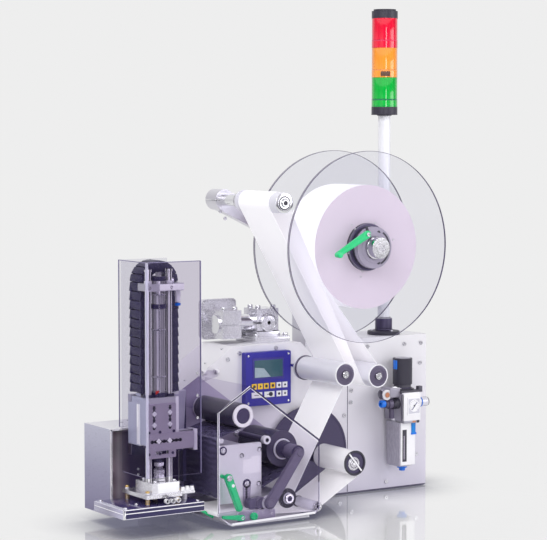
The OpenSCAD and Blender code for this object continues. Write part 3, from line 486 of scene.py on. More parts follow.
def dress(piece, *materials):
    """gives a CAD piece its materials, all faces the first"""
    o = NODES[piece]
    o.data.materials.clear()
    for m in materials:
        o.data.materials.append(m)
    for p in o.data.polygons:
        p.material_index = 0
    return o


def faces_to(o, index, test):
    """gives the faces for which test(centre in mm, normal) holds another of the piece's materials"""
    for p in o.data.polygons:
        if test((p.center.x * 1000, p.center.y * 1000 - FRONT_Y, p.center.z * 1000), p.normal):
            p.material_index = index


# ---- CAD pieces ----
PIECES = {
    PAINT: "print_housing unwinder_housing", STEEL: "screws", BLUEP: "operator_panel", LCD: "display_window",
    POLE: "tower_pole", BLACK: "tower_caps regulator_knob gauge_needle", GREENL: "tier_green", AMBERL: "tier_amber",
    REDL: "tier_red", ALU: "mount_flange clamp_blocks tamp_foot", CHROME: "clamp_tubes axles regulator_fittings",
    ANOD: "reel_support tamp_body tamp_yoke", PAPER: "label_web", LIGHTPLATE: "print_head print_base",
    FILM: "ribbon_film", FRLB: "regulator_body", BOWL: "regulator_bowl", ANODV: "tamp_bracket", SLOTM: "slot_plate",
    TUBEC: "barrel", ROLLER: "upper_roller infeed_roller dancer_roller web_guide_roller liner_guide_roller",
    DARKV: "rewinder supply_core", WHITE: "takeup_core", RIBBON: "takeup_ribbon supply_ribbon", ARMV: "ribbon_arm",
    GREEN: "head_lever latch_lever adjust_knob reel_lock_lever", BLUEF: "drain_cock", RODC: "guide_rods",
    PADM: "tamp_pad", BRASS: "pad_springs", NAVY: "energy_chain", HUBG: "reel_hub",
    PANEL: "print_front_panel unwinder_front_panel"}
for m, pieces in PIECES.items():
    for piece in pieces.split():
        dress(piece, m)

o = dress("reel_discs", DISC, EDGE)
faces_to(o, 1, lambda c, n: abs(n.y) < 0.5)
o = dress("label_roll", PAPER, ROLLF)
faces_to(o, 1, lambda c, n: abs(n.y) > 0.5)
o = dress("liner_roll", LINER, LROLLF)
faces_to(o, 1, lambda c, n: abs(n.y) > 0.5)
o = dress("hood", HOODM, HOODE, HOODL)
faces_to(o, 1, lambda c, n: abs(n.y) < 0.5 and (c[0] > -285) and c[1] < -150)
faces_to(o, 2, lambda c, n: (abs(n.y) < 0.5 and c[0] <= -285 and c[1] < -150) or (c[2] < 13))
o = dress("tamp_cover", COVM, COVE, COVS)
faces_to(o, 2, lambda c, n: c[1] > -128)
faces_to(o, 1, lambda c, n: abs(n.z) > 0.5)
o = dress("keypad", WHITE, YEL)
faces_to(o, 1, lambda c, n: c[2] > 187 and c[0] < -150)
# painted light and shade on the guard box: its left face darker towards the bottom, its top darker to the right,
# and inside a warm painted reflection near the left that falls off into dark shade
BOXL = painted_light_along(mat("box_left", (0.60, 0.60, 0.68), 0.30, 0.3, 90, 0.05, 0.04, stretch=(1, 1, 30), bevel=0), "Z", 15,
              155, (0, (0.30, 0.27, 0.42)), (0.5, (0.50, 0.48, 0.60)), (1, (0.80, 0.80, 0.86)))
BOXT = painted_light_along(mat("box_top", (0.78, 0.77, 0.82), 0.30, 0.3, 90, 0.05, 0.04, bevel=0), "X", -475, -353, (0, 0.85),
              (1, (0.55, 0.53, 0.62)))
BOXI = painted_light_along(mat("box_inside", (0.75, 0.72, 0.80), 0.22, 0.4, 90, 0.05, 0.05, stretch=(1, 1, 20), bevel=0), "X",
              -423, -353, (0, (0.60, 0.48, 0.50)), (0.10, (1.0, 0.90, 0.88)), (0.22, (0.62, 0.52, 0.60)),
              (0.40, (0.26, 0.21, 0.38)), (1, (0.16, 0.13, 0.28)))
o = dress("shield_box", BOXI, BOXL, BOXT, STAINV)
faces_to(o, 1, lambda c, n: n.x < -0.5 and c[0] < -474)
faces_to(o, 2, lambda c, n: n.z > 0.5 and c[2] > 151)
faces_to(o, 3, lambda c, n: n.y < -0.5 and c[1] < -49)
o = dress("reel_hub", BLACK, HUBG, WHITE)
faces_to(o, 1, lambda c, n: n.y < -0.5)

# signal tower: smooth lenses over dark bands, a plug and a clamp on the pole
POLE_X, POLE_V, TIER_Z, TIER_STEP = 97, 32, 647.0, 49.7
on_pole = along_z(POLE_X, POLE_V)
TIERS = (("green", GREENL, BAND_GREEN), ("amber", AMBERL, BAND_AMBER), ("red", REDL, BAND_RED))
for i, (nm, m, band) in enumerate(TIERS):
    z = TIER_Z + i * TIER_STEP
    on_pole("lens_" + nm, z, [(21.0, 13.4), (21.7, 13.8), (21.7, 47.6), (22.0, 48.2), (22.0, 49.2), (21.0, 49.4)],
            m, n=96)
    on_pole("lens_band_" + nm, z, [(21.0, 0.4), (22.0, 0.6), (22.0, 2.4), (21.6, 2.9), (21.6, 11.4), (22.0, 12),
                                   (22.0, 13), (21.0, 13.3)], band, n=96)
rbox("lens_plug", POLE_X - 19.6, POLE_X - 3.6, POLE_V - 19.6, POLE_V - 17.4, TIER_Z + 51.6, TIER_Z + 59.6, BROWN,
     r=0.6, turn=Matrix.Rotation(CAMERA_TURN, 4, "Z"))
on_pole("tower_ring_low", TIER_Z - 13.5, [(21.9, 0), (22.2, 0.4), (22.2, 1.6), (21.9, 2)], BLACK, n=48)
on_pole("tower_nut", 632, [(11.5, 0), (12.4, 0.6), (12.4, 4), (11.5, 4.6)], BLACK, n=32, teeth=16, depth=0.6)
on_pole("pole_socket", 267.5, [(15.2, 0), (15.2, 0.5), (14.6, 1), (14.6, 19), (14.2, 20.5), (11.2, 22.3)], DARKV)
on_pole("pole_foot", 260.2, [(27.6, 0), (27.8, 0.6), (27.8, 4.8), (26.8, 6.2), (11, 7.5), (10.6, 9)], BLACK, n=48)
screws("pole_foot_screws", [(*polar(POLE_X, POLE_V, 20, a), 266) for a in (0.6, 2.7, 4.8)], 2.6, 2.4, STEEL,
       axis="z")

# operator panel
PANEL_X, PANEL_Z = -164.5, 206
screws("panel_screws", [(PANEL_X + a * 38.5, -12, PANEL_Z + b * 38.5) for a in (-1, 1) for b in (-1, 1)], 1.9, 0.8,
       CHROME)
plate("lcd_bezel", rounded(PANEL_X - 30.5, PANEL_X + 30.5, PANEL_Z - 1.4, PANEL_Z + 34, 2.5), -12.5, -11.9,
      mat("bezel_blue", (0.045, 0.035, 0.26), 0.3, 0, 900, 0.03, 0.05), r=0.2)
plate("lcd_glass", rounded(PANEL_X - 27, PANEL_X + 27, PANEL_Z + 2.2, PANEL_Z + 30.4, 1), -12.9, -12.4, LCD, r=0.15)
GLARE = mat("lcd_glare", (0.34, 0.43, 0.49), 0.1, 0, 200, 0, 0.1, bevel=0, coat=0.6)
plate("lcd_glare", [(PANEL_X - 26.6, PANEL_Z + 2.6), (PANEL_X + 4, PANEL_Z + 2.6), (PANEL_X - 9, PANEL_Z + 17),
      (PANEL_X - 26.6, PANEL_Z + 19)], -12.98, -12.88, GLARE, r=0.02)
# plain marks on the keys: dx and dz from the panel's middle, radius, number of sides, and a bar on the wide keys
KEY_MARKS = ((-27.5, -12, 2.6, 14, 0), (-16, -12, 2.6, 3, 0), (-4.5, -12, 2.6, 14, 0), (8, -12, 2.6, 14, 0),
             (20, -12, 2.2, 12, 0), (31.5, -12, 2.2, 4, 0), (-18.5, -26, 1.6, 3, 1), (5.5, -26, 1.6, 3, 1),
             (20, -26, 2.2, 12, 0), (31.5, -26, 2.2, 4, 0))
bm = bmesh.new()
for dx, dz, r, sides, bar in KEY_MARKS:
    x, z = PANEL_X + dx, PANEL_Z + dz
    if bar:
        box_bm(bm, x - 9, x + 1, -13.2, -13, z - 0.5, z + 0.5, 0.05)
    lathe_bm(bm, (x, -13, z), disc(r, 0.18, 0.2), "y", sides)
finish("key_marks", bm, BLACK)
lathe("panel_button", (-160.9, -12, 180.5), [(3.2, 0), (3.4, 0.4), (3.4, 2.4), (2.9, 3), 3.2], BLACK, n=28)

# reel: hub face, slots, end knob
REEL_X, REEL_Z = -63.5, 422.8
on_reel = along_y(REEL_X, REEL_Z, "reel")
on_reel("hub_face", -165, [(32.9, -9), (33.2, -8), (33.2, -1), (32.4, 0.2), (25, 0.5), (24.2, 1.4), (18.6, 1.4),
        (18.2, 0.6), (9.6, 0.6)], HUBG, n=72)
on_reel("hub_rim", -149.6, [(33.3, -0.5), (36.5, -0.2), (36.8, 0.6), (36.2, 1.6), (33.3, 1.8)], DARKV, n=72)
on_reel("hub_side", -156.5, [(33.05, -8), (33.6, -7.5), (33.6, 0.8), (33.05, 1.2)], BLACK, n=72, teeth=36,
        depth=0.5)
for i, a in enumerate((72, 288)):
    x, z = polar(REEL_X, REEL_Z, 25, math.radians(a))
    lathe("hub_hole_%d" % i, (x, -165.3, z), disc(3.1, 0.4, 0.4), BLACK, "reel", n=24)
plate("hub_slot", stadium((-79.5, 455), (-72.5, 440), 2.2, 2.2), -166.2, -164.9, BLACK, "reel", 0.2)
plate("hub_notch", stadium((-71, 403), (-74, 406.5), 2.0, 2.0), -166.2, -164.9, BLACK, "reel", 0.2)
arc = [(29.5, a) for a in range(-65, 60, 5)] + [(27, a) for a in range(55, -70, -5)]
plate("hub_arc", [polar(REEL_X, REEL_Z, r, math.radians(a)) for r, a in arc], -166, -165.0, BLACK, "reel", 0.1)
on_reel("end_knob", -165.6, [(17.6, 0), (17.9, 0.6), (17.9, 4), (16.4, 5), (16.4, 14), (15.4, 16.6), (13.2, 17.3),
        (12.6, 16.4), (9.5, 16.4), (9, 17.6), (6.4, 17.6), (6, 14), 14], CHROME, n=64, teeth=32, depth=0.5,
        body=FIXED)
on_reel("end_knob_core", -179, [(8.6, 0), (8.6, 4.5), (7.8, 5.2), (5.8, 5.2), (5.5, 4), (3.6, 4), (3.2, 5),
        (1.6, 5), (1.2, 4.2), 4.2], STEEL, body=FIXED)
LEVER_PIN = Vector((-81, 444.3))
LEVER_TIP = Vector((-81 - 64 * 0.88, 444.3 - 64 * 0.475))
o = plate("lock_lever_body", stadium(LEVER_PIN, LEVER_TIP, 6.2, 4.2), -172.6, -166.5, GREEN, "lock", 1.2)
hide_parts("reel_lock_lever")
plate("lock_lever_rib", stadium(LEVER_PIN + (LEVER_TIP - LEVER_PIN) * 0.16,
      LEVER_PIN + (LEVER_TIP - LEVER_PIN) * 0.9, 2.4, 1.6), -173.6, -172.2, GREEN, "lock", 0.5)
lathe("lock_lever_grip", (LEVER_TIP.x, -172, LEVER_TIP.y), [(4.4, 0), (4.6, 0.6), (4.6, 6), (3.8, 7.4), 7.8], GREEN,
      "lock", n=28)
screws("lock_lever_screw", [(LEVER_PIN.x, -172.6, LEVER_PIN.y)], 3.2, 2.2, STEEL, "lock")
bm = bmesh.new()
for r, count in ((40, 6), (49, 3)):
    for i in range(count):
        x, z = polar(REEL_X, REEL_Z, r, math.radians(i * 360 / count + 12))
        socket_bm(bm, (x, -149.2, z), 1.7, 1.0)
finish("disc_screws", bm, STEEL, "reel")
for v in (-149.4, -50.3):
    lathe("disc_ring_%d" % abs(v), (REEL_X, v, REEL_Z), [(151.7, 0), (152.3, 0.2), (152.3, 1.6), (151.7, 1.9)],
          EDGE, "reel", n=180)

# infeed and dancer rollers: dark recessed end discs, light rims, back flanges and centre screws
for nm, x, z, body in (("infeed", -117, 224.3, "infeed_roll"), ("dancer", -53, 218, "dancer_roll")):
    on_roller = along_y(x, z, body)
    on_roller(nm + "_disc", -160.6, [(17.45, 0), (17.45, 0.9), (16.7, 1.3), (11.47, 1.3), (11.1, 0.5), (7.77, 0.5),
              (7.4, 1.6), (5.6, 1.6)], RUBBERF, n=48)
    on_roller(nm + "_rim", -161.4, [(17.5, -1), (17.5, 0.9), (17.8, 1.2), (18.3, 1.2), (18.6, 0.8), (18.6, -1)],
              WHITE, n=48)
    on_roller(nm + "_flange", -47, [(18.6, 4), (20, 3.6), (20, 0.4), (19.4, 0), (18.6, -0.2)], RUBBERF, n=48)
    on_roller(nm + "_cap", -164, [(5.7, -0.4), (5.7, 0.6), (4.8, 1.4), (3.0, 1.4), (2.6, 0.4), 0.4], CHROME, FIXED,
              n=28)
UPPER_X, UPPER_Z = -231, 496.3
on_upper = along_y(UPPER_X, UPPER_Z)
on_upper("upper_face", -161.6, [(15.8, -0.6), (15.8, 0.5), (15.2, 0.9), (10.8, 0.9), (10.4, 0.1), (9.2, 0.1),
         (8.8, 1.2), (5.8, 1.2)], CHROME, n=48, body="upper_roll")
on_upper("upper_face_ring", -161.9, [(10.6, 0), (10.6, 0.35), (9.0, 0.35), (9.0, 0)], BLACK, n=48,
         body="upper_roll")
on_upper("upper_screw", -163.6, [(5.6, 0), (5.6, 1.2), (4.9, 2), (3.7, 2), (3.5, 0.3), 0.3], CHROME, n=28)
on_upper("upper_hex", -164.2, disc(3.4, 0.5, 0.5), BLACK, n=24)
on_upper("upper_collar", -36, [(9.2, -4), (12.8, -3.6), (13.4, -3), (13.4, 3), (12.8, 3.6), (9.2, 4)], STEEL)
screws("arm_screws", [(UPPER_X, 14, UPPER_Z - 30), (-240, 14, 478)], 3, 2.4, STEEL)

# clamp and flange
FLANGE_X, FLANGE_Z = -205, 298
screws("flange_screws", [(FLANGE_X + a * 26, 79.4, FLANGE_Z + b * 26) for a in (-1, 1) for b in (-1, 1)], 4.6, 3.6,
       CHROME)
plate("flange_face", rounded(FLANGE_X - 31, FLANGE_X + 31, FLANGE_Z - 31, FLANGE_Z + 31, 8), 75.2, 76.2, ALU, r=0.5)
lathe("tube_end", (-138, 28.4, 292), [(14.9, 0), (15.1, 0.3), (15.1, 1.2), (14.4, 1.8), (12.6, 1.8), (12.2, 0.2),
      (11.9, -1)], CHROME, n=48)
lathe("tube_plug", (-138, 28.2, 292), [(12.4, 0), (12.2, 0.9), (11, 1.2), (3.2, 1.2), (2.8, 0.2), 0.2], ALU)
for i, (x0, x1) in enumerate(((-171, -104), (-161, -115))):
    rbox("clamp_foot_%d" % i, x0 - 0.6, x1 + 0.6, 17.4 + i * 12, 78.6 - i * 5, 260.3, 269 + i * 9, ALU, r=2.0)
screws("clamp_bolts", [(-218, 40, 315.2), (-197, 40, 315.2), (-152, 40, 315.2), (-152, 64, 315.2),
       (-123, 40, 315.2)], 4.7, 5.2, CHROME, axis="z")
screws("foot_bolts", [(-166, 24, 269.5), (-166, 72, 269.5), (-109, 24, 269.5), (-109, 72, 269.5)], 4.7, 5.4, CHROME,
       axis="z")
SLITS = ((-160, -139, 292), (-159.5, -116.5, 278))
boxes("clamp_slits", [(x0, x1, 31.2, 32.2, z - 0.9, z + 0.9) for x0, x1, z in SLITS], BLACK, 0.3)

# cabinet: seams, dash screws and a dark line along the bottom edge
rbox("panel_seam", -0.6, 0.6, -0.25, 0.4, 1, 184, DARKV, r=0.15)
turned("chamfer_screws", [(x, 22, z) for x, z in ((-301, 207.5), (-263, 233), (-232, 254))],
       [(2.4, -0.3), (2.4, 1.4), (1.9, 1.8), 1.8], STEEL, axis="z", n=16)
boxes("base_line", [(x0, x1, -0.35, 0.5, 0.2, 1.6) for x0, x1 in ((-324, -1), (1.5, 163.5))], DARKV, 0.2)

# liner rewinder: slotted mandrel and its latch
FACE_X, FACE_Z = -87, 77.5
on_rewind = along_y(-85, 78.5, "rewind")
on_face = along_y(FACE_X, FACE_Z, "rewind")
on_rewind("mandrel_end", -141.5, [(16.8, -1), (19.8, 0), (20.3, 2.6), (19.4, 3.4), (17, 3.4), (16.6, 1)], BLACK,
          n=72)
on_rewind("mandrel_well", -140.4, [(16.9, 0), (16.9, 0.6), (13, 0.9), (12.6, 1.6), 1.8], DARKV, n=56)
on_face("mandrel_face", -141.8, [(10.6, 0), (10.9, 0.4), (10.9, 1.6), (10.2, 2.2), (4.4, 2.4), (4, 1.6), 1.6],
        STEEL, n=48)
on_face("mandrel_groove", -143.9, [(7.2, 0), (7.2, 0.3), (6.2, 0.3), (6.2, 0)], DARKV, n=48)
plate("mandrel_bar", stadium((-96, 93.5), (-73.5, 66), 1.3, 1.3), -145.4, -144.2, WHITE, "rewind", 0.3)
screws("mandrel_screws", [(FACE_X, -143.6, FACE_Z), (-92.5, -143.6, 81)], 2.2, 1.2, CHROME, "rewind")
on_rewind("rewind_rim", -10.2, [(72, 0.2), (75.6, 0.3), (76, -0.4), (76, -3.6)], DARKV, n=128)

# ---- tamp ----
TAMP_X, TAMP_V = -425, -112
on_tamp = along_z(TAMP_X, TAMP_V)
# bracket and body sides: pale above, dark below, as painted shade: a shaded tone on the body's left side and a
# near-black one on the bracket's low and back faces
SIDE = mat("side_pale", (0.46, 0.47, 0.60), 0.34, 0.15, 900, 0.04, 0.05)
DEEP = mat("bracket_dark", (0.045, 0.038, 0.10), 0.34, 0.2, 700, 0.05, 0.15)
o = dress("tamp_bracket", ANODV, DEEP, SIDE)
faces_to(o, 1, lambda c, n: c[2] < 134 or c[1] > -45)
o = dress("tamp_body", ANOD, SIDE, WHITE)
faces_to(o, 1, lambda c, n: n.x < -0.5 and c[0] < TAMP_X - 20)
faces_to(o, 2, lambda c, n: n.y < -0.5 and (c[0] < TAMP_X - 22 or c[0] > TAMP_X + 50) and abs(c[2] - 206) > 12)

# energy chain: two straight runs and a half circle above them
CHAIN_X, BEND_R, CHAIN_W, BEND_Z, LINK, CHAIN_FOOT = -412, 24, 18, 378, 14, 209
bm = bmesh.new()
for side in (-1, 1):
    x = CHAIN_X + side * BEND_R
    lean = Matrix.Rotation(math.radians(-7 * side), 4, "Y")
    for i in range((BEND_Z - CHAIN_FOOT) // LINK):
        z = BEND_Z - i * LINK
        box_bm(bm, x - CHAIN_W / 2 + 0.6, x + CHAIN_W / 2 - 0.6, -92.4, -57.6, z - LINK + 0.2, z - 0.4, 1.8)
        for v0, v1 in ((-93.0, -88), (-62, -57.2)):
            box_bm(bm, x - CHAIN_W / 2, x + CHAIN_W / 2, v0, v1, z - LINK - 1.6, z - 1.2, 1.3, lean)
        lathe_bm(bm, (x, -92.8, z - LINK / 2), [(3.4, 0), (3.2, 0.5), 0.6], "y", 14)
BEND_LINKS = 8
length = math.pi * BEND_R / BEND_LINKS + 2.2
for i in range(BEND_LINKS):
    a = math.radians(180 * (i + 0.5) / BEND_LINKS)
    q = Vector(polar(CHAIN_X, BEND_Z, BEND_R, a))
    box_bm(bm, q.x - CHAIN_W / 2 + 0.4, q.x + CHAIN_W / 2 - 0.4, -92.6, -57.4, q.y - length / 2, q.y + length / 2,
           1.6, Matrix.Rotation(-a, 4, "Y"))
o = finish("chain_links", bm, NAVY)
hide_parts("energy_chain")
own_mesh(o)

on_tamp("barrel_collar", 339.8, [(10.9, 0), (11.7, 0.5), (11.7, 6.8), (10.9, 7.3)], NAVY)
on_tamp("barrel_head", 206.2, [(12, 0), (12.3, 0.4), (12.3, 7), (11, 8)], NAVY)
on_tamp("barrel_cap", 382, [(10.2, 0), (11.2, 0.6), (11.2, 6), (10.2, 7)], NAVY)
plate("red_mark", [(-436, 211), (-430, 213), (-430, 217), (-436, 216)], TAMP_V - 10.4, TAMP_V - 9.4, REDM, r=0.1)
tube("air_rail", [(-429.5, -122.3, 214), (-429.5, -122.3, 362)], 0.9, CHROME, smooth=False)
for i, z in enumerate((236, 307, 360)):
    on_tamp("rail_ring_%d" % i, z, [(10.1, 0), (11.4, 0.3), (11.4, 2.4), (10.1, 2.7)], CHROME)
rbox("rail_foot", -433, -426, -125, -121, 206.2, 213, NAVY, r=0.6)
for nm, x in (("l", TAMP_X - 18), ("r", TAMP_X + 18)):
    on_rod = along_z(x, TAMP_V)
    on_rod("rod_cap_" + nm, 397, [(4.9, 0), (5.9, 0.3), (5.9, 2), (5.3, 2.5), (3.2, 2.5), (3, 1), 1], RODC, "tamp",
           n=32)
    on_rod("rod_collar_" + nm, 378, [(5.2, 0), (6.1, 0.3), (6.1, 3.4), (5.6, 4)], WHITE, "tamp", n=32)
    on_rod("rod_wiper_" + nm, 206.4, [(5.3, 0), (8, 0.2), (8, 3), (7, 4)], NAVY, n=32)
    on_rod("rod_bush_" + nm, 129.6, [(5.3, 4), (8, 3.8), (8, 0.6), (7, 0)], DARKV, n=32)
rbox("yoke_front", TAMP_X - 6, TAMP_X + 36, TAMP_V - 15.1, TAMP_V - 14.4, 368, 377.2, WHITE, "tamp", 0.3)
screws("yoke_screws", [(TAMP_X - 22, TAMP_V - 14.5, 372.5), (TAMP_X + 14, TAMP_V - 15.1, 372.5)], 2.4, 1.2, STEEL,
       "tamp")
lathe("yoke_fitting", (-391.5, TAMP_V, 367), [(3.0, 0), (4.6, -1), (4.6, -9), (4, -10), (4, -18), (3.0, -19)],
      WHITE, "tamp", "z", 24)
lathe("yoke_fitting_ring", (-391.5, TAMP_V, 347), [(2.8, 0), (4.5, -0.3), (4.5, -4), (2.8, -4.4)], BLUEF, "tamp",
      "z", 24)
lathe("yoke_fitting_top", (-402, TAMP_V, 378), [(4.4, 0), (4.4, 3), (3.4, 3.6), (3.4, 7)], CHROME, "tamp", "z", 6)
# slotted front plate and cross bar
bm = bmesh.new()
for x in (TAMP_X - 15, TAMP_X + 12.5):
    box_bm(bm, x - 1.5, x + 1.5, -124.25, -123.9, 158, 194, 0.1)
    for z in range(160, 196, 6):
        lathe_bm(bm, (x, -124.05, z), [(2.7, 0), (2.6, 0.25), 0.25], "y", 6)
box_bm(bm, TAMP_X - 20, TAMP_X + 31, -126.85, -126.5, 138.4, 141.6, 0.1)
for x in range(-445, -393, 7):
    lathe_bm(bm, (x, -126.6, 140), [(3.0, 0), (2.9, 0.25), 0.25], "y", 6)
finish("slot_marks", bm, BLACK)
turned("slot_screws", [(-440, -124.2, 182), (-413, -124.2, 183), (-440, -124.2, 165), (-413, -124.2, 165),
       (-434, -126.8, 140.5), (-415, -126.8, 140.5)], [(4.3, 0), (4.3, 1.3), (3.4, 1.9), (1.5, 1.9), (1.4, 0.6),
       0.6], WHITE, n=4)
screws("plate_screws", [(x, -124, z) for x, z in ((-449, 154), (-430, 154), (-406, 154), (-449, 121), (-430, 121),
       (-408, 121))], 2.3, 0.9, DARKV)
screws("bracket_screws", [(-441.5, -76, 92), (-441.5, -76, 84)], 2.2, 1.4, CHROME)
screws("side_screws", [(-448.5, -102, 191), (-448.5, -102, 137)], 1.8, 0.8, STEEL)
rbox("side_strip", TAMP_X - 27.9, TAMP_X - 27.2, -102.2, -93, 134, 195, WHITE, r=0.2)
rbox("bracket_plate", -443.6, -443, -75.6, -68, 140.5, 158, STAIN, r=0.2)
rbox("body_edge", TAMP_X + 23.4, TAMP_X + 28.7, -122.3, -121.8, 134.3, 205.8, WHITE, r=0.2)
rbox("flange_edge", TAMP_X + 53.3, TAMP_X + 60.2, -124.3, -123.8, 122.2, 153.8, WHITE, r=0.2)
# joint above the foot
on_tamp("float_joint", 78.2, [(11, 0), (11, 4), (8, 5), (8, 10), (9.5, 11), (9.5, 17), (6.5, 19), (5.2, 22)], STEEL,
        n=6, body="tamp")
on_tamp("float_nut", 101, [(7.6, 0), (8.2, 0.6), (8.2, 5), (7.6, 5.6), (5.2, 5.6)], CHROME, n=6, body="tamp")
on_tamp("float_dark", 107, [(5.1, 0), (7, 0.3), (7, 6), (5.1, 6.4)], NAVY, n=32, body="tamp")
screws("foot_screws", [(TAMP_X - 15, -126, 78.2), (TAMP_X + 18, -126, 78.2), (TAMP_X - 15, -92, 78.2),
       (TAMP_X + 18, -92, 78.2)], 3.0, 2.6, CHROME, "tamp", "z")
rbox("foot_face", TAMP_X - 13, TAMP_X + 23.5, -132.3, -131.8, 62, 77.4, mat("foot_white", (0.86, 0.86, 0.88), 0.4,
     0.2, 900, 0.05, 0.02), "tamp", 0.2)
PINS = ((TAMP_X - 29, -128), (TAMP_X - 29, -64), (TAMP_X + 22, -62), (TAMP_X + 23.5, -128))
COIL_R, COIL_WIRE, COIL_Z, COIL_H, TURNS, PER_TURN = 3.3, 0.55, 45.7, 8.6, 4, 12
bm = bmesh.new()
for x, v in PINS:
    steps = range(TURNS * PER_TURN + 1)
    helix = [(*polar(x, v, COIL_R, 2 * math.pi * k / PER_TURN),
             COIL_Z + COIL_H * k / (TURNS * PER_TURN)) for k in steps]
    coil = tube("coil", helix, COIL_WIRE, BRASS, "tamp", res=2, smooth=False)
    bm.from_mesh(coil.data)
    bpy.data.objects.remove(coil)
o = finish("pad_coils", bm, BRASS, "tamp", 80)
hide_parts("pad_springs")
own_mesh(o)
screws("spring_screws", [(x, v, 63.8) for x, v in PINS], 3.4, 2.8, BRASS, "pad", "z")

# pad: dark smoked top plate, pale edges, screws and fittings
PAD_L, PAD_R, PAD_F, PAD_B, PAD_TOP = -504.5, -365.5, -146, -52, 45
PADF = mat("pad_front", (0.024, 0.020, 0.078), 0.32, 0.1, 500, 0.0, 0.10, bevel=0)
SMOKE = mat("pad_smoke", (0.060, 0.048, 0.150), 0.10, 0, 500, 0.0, 0.10, bevel=0, coat=0.7)
PALE = mat("pad_pale", (0.66, 0.66, 0.76), 0.28, 0.3, 700, 0.03, 0.04, bevel=0)
rbox("pad_top", PAD_L + 9, PAD_R - 1, PAD_F + 1.2, PAD_B - 1, PAD_TOP - 0.3, PAD_TOP + 0.4, SMOKE, "pad", 0.2)
rbox("pad_top_pale", PAD_L + 1, PAD_L + 9, PAD_F + 1, PAD_B - 1, PAD_TOP - 0.3, PAD_TOP + 0.45, PALE, "pad", 0.2)
for i, (a, b) in enumerate(((40.2, 44.2), (32.0, 38.6))):
    rbox("pad_band_%d" % i, PAD_L + 3.6, PAD_R - 0.5, PAD_F - 0.35, PAD_F + 0.3, a, b, PADF, "pad", 0.2)
rbox("pad_line", PAD_L + 3.5, PAD_R - 0.4, PAD_F - 0.45, PAD_F + 0.3, 38.7, 39.9, WHITE, "pad", 0.2)
rbox("pad_line_top", PAD_L + 3.5, PAD_R - 0.4, PAD_F - 0.45, PAD_F + 0.9, 44.4, 45.6, WHITE, "pad", 0.2)
rbox("pad_corner", PAD_L - 0.3, PAD_L + 3.2, PAD_F - 0.5, PAD_F + 2.2, 30.9, 45.7, CHROME, "pad", 0.4)
# painted shade on the pad's left side, darkest in its middle
rbox("pad_side_dark", PAD_L - 0.3, PAD_L + 0.4, PAD_F + 2, PAD_B - 1, 31.2, 44.6,
     painted_light_along(mat("pad_side", (0.52, 0.50, 0.66), 0.25, 0.2, 700, 0.03, 0.04, bevel=0), "Y", -194, -100, (0, 1.0),
     (0.5, 0.55), (1, 0.8)), "pad", 0.2)
rbox("pad_side_line", PAD_L - 0.35, PAD_L + 0.4, PAD_F + 2, PAD_B - 1, 38.4, 39.6, WHITE, "pad", 0.2)
screws("pad_screws", [(PAD_L + 7, PAD_F + 8, PAD_TOP + 0.3), (PAD_R - 8, PAD_F + 7, PAD_TOP + 0.3),
       (PAD_L + 7, PAD_B - 8, PAD_TOP + 0.3), (PAD_R - 8, PAD_B - 7, PAD_TOP + 0.3),
       (PAD_L + 38, PAD_F + 30, PAD_TOP + 0.3)], 2.8, 2.4, CHROME, "pad", "z")
bm = bmesh.new()
for v in (-110, -80):
    lathe_bm(bm, (-379.5, v, 57), [(4.2, 0), (4.4, 1), (4.4, 6), (3.4, 6.6)], "z", 6)
for x, z in ((-427, 50.5), (-417, 50.5), (-408, 51)):
    lathe_bm(bm, (x, -140, z), [(3.6, -4), (3.9, -3.5), (3.9, 2.5), (3.0, 3)], "y", 12)
finish("pad_fittings", bm, WHITE, "pad")
tube("pad_hose", [(-427, -141, 53), (-425, -142, 57.5), (-419, -142, 57.5), (-417, -141, 53)], 1.7, HOSEM, "pad")
tube("pad_hose_b", [(-379.5, -110, 62), (-379.5, -106, 67), (-379.5, -86, 67), (-379.5, -80, 62)], 1.7, HOSEM,
     "pad")
bm = bmesh.new()
lathe_bm(bm, (-399, -128, 59), disc(2.6, 26, 26), "x", 12)
for x in (-393.2, -385, -377):
    lathe_bm(bm, (x, -128, 60.5), [(3.6, 0), (3.9, 0.5), (3.9, 4), (3.0, 4.6), (3.0, 8)], "z", 12)
finish("foot_fittings", bm, WHITE, "tamp")
turned("foot_fitting_ends", [(x, -128, 68.5) for x in (-393.2, -377)], [(3.1, 0), (3.1, 1.4), (2, 1.8), 1.8], NAVY,
       "tamp", "z", 12)

# guard box: folded pale edges, their paleness a painted highlight
boxes("box_lip", ((-475.2, -471.8, -50.6, -49.2, 18.2, 151.8), (-475, -353.5, -50.6, -49.2, 149.2, 152.2)),
      mat("lip_bright", (0.80, 0.78, 0.80), 0.2, 0.6, 600, 0.02, 0.03, bevel=0), 0.3)

# cover: bright folded edge and pale rims; the fold's brightness is a painted highlight
COVER_TOP, COVER_FRONT = (410.0, 411.2), (-130.3, -127.8)
VL = mat("cover_line", (0.17, 0.15, 0.27), 0.2, 0.1, 600, 0.02, 0.04, bevel=0)
rbox("cover_fold", -456.4, -452.6, -130.4, -127.6, 86.2, 410.8, clear("cover_fold", (0.80, 0.78, 0.92), 0.08, 0.35,
     0.6, (0.84, 0.82, 0.95)), r=0.4)
boxes("cover_rim", ((-362.2, -360.9, *COVER_FRONT, 86.2, 410.8), (-456, -362, *COVER_FRONT, *COVER_TOP),
      (-456.3, -454.6, -129, -43.5, *COVER_TOP), (-456.3, -454.9, -44.2, -42.8, 154.2, 411)), VL, 0.2)
screws("cover_screws", [(x, -130, z) for x, z in ((-368, 240), (-368, 206), (-368, 172))], 2.2, 1.0, STEEL)

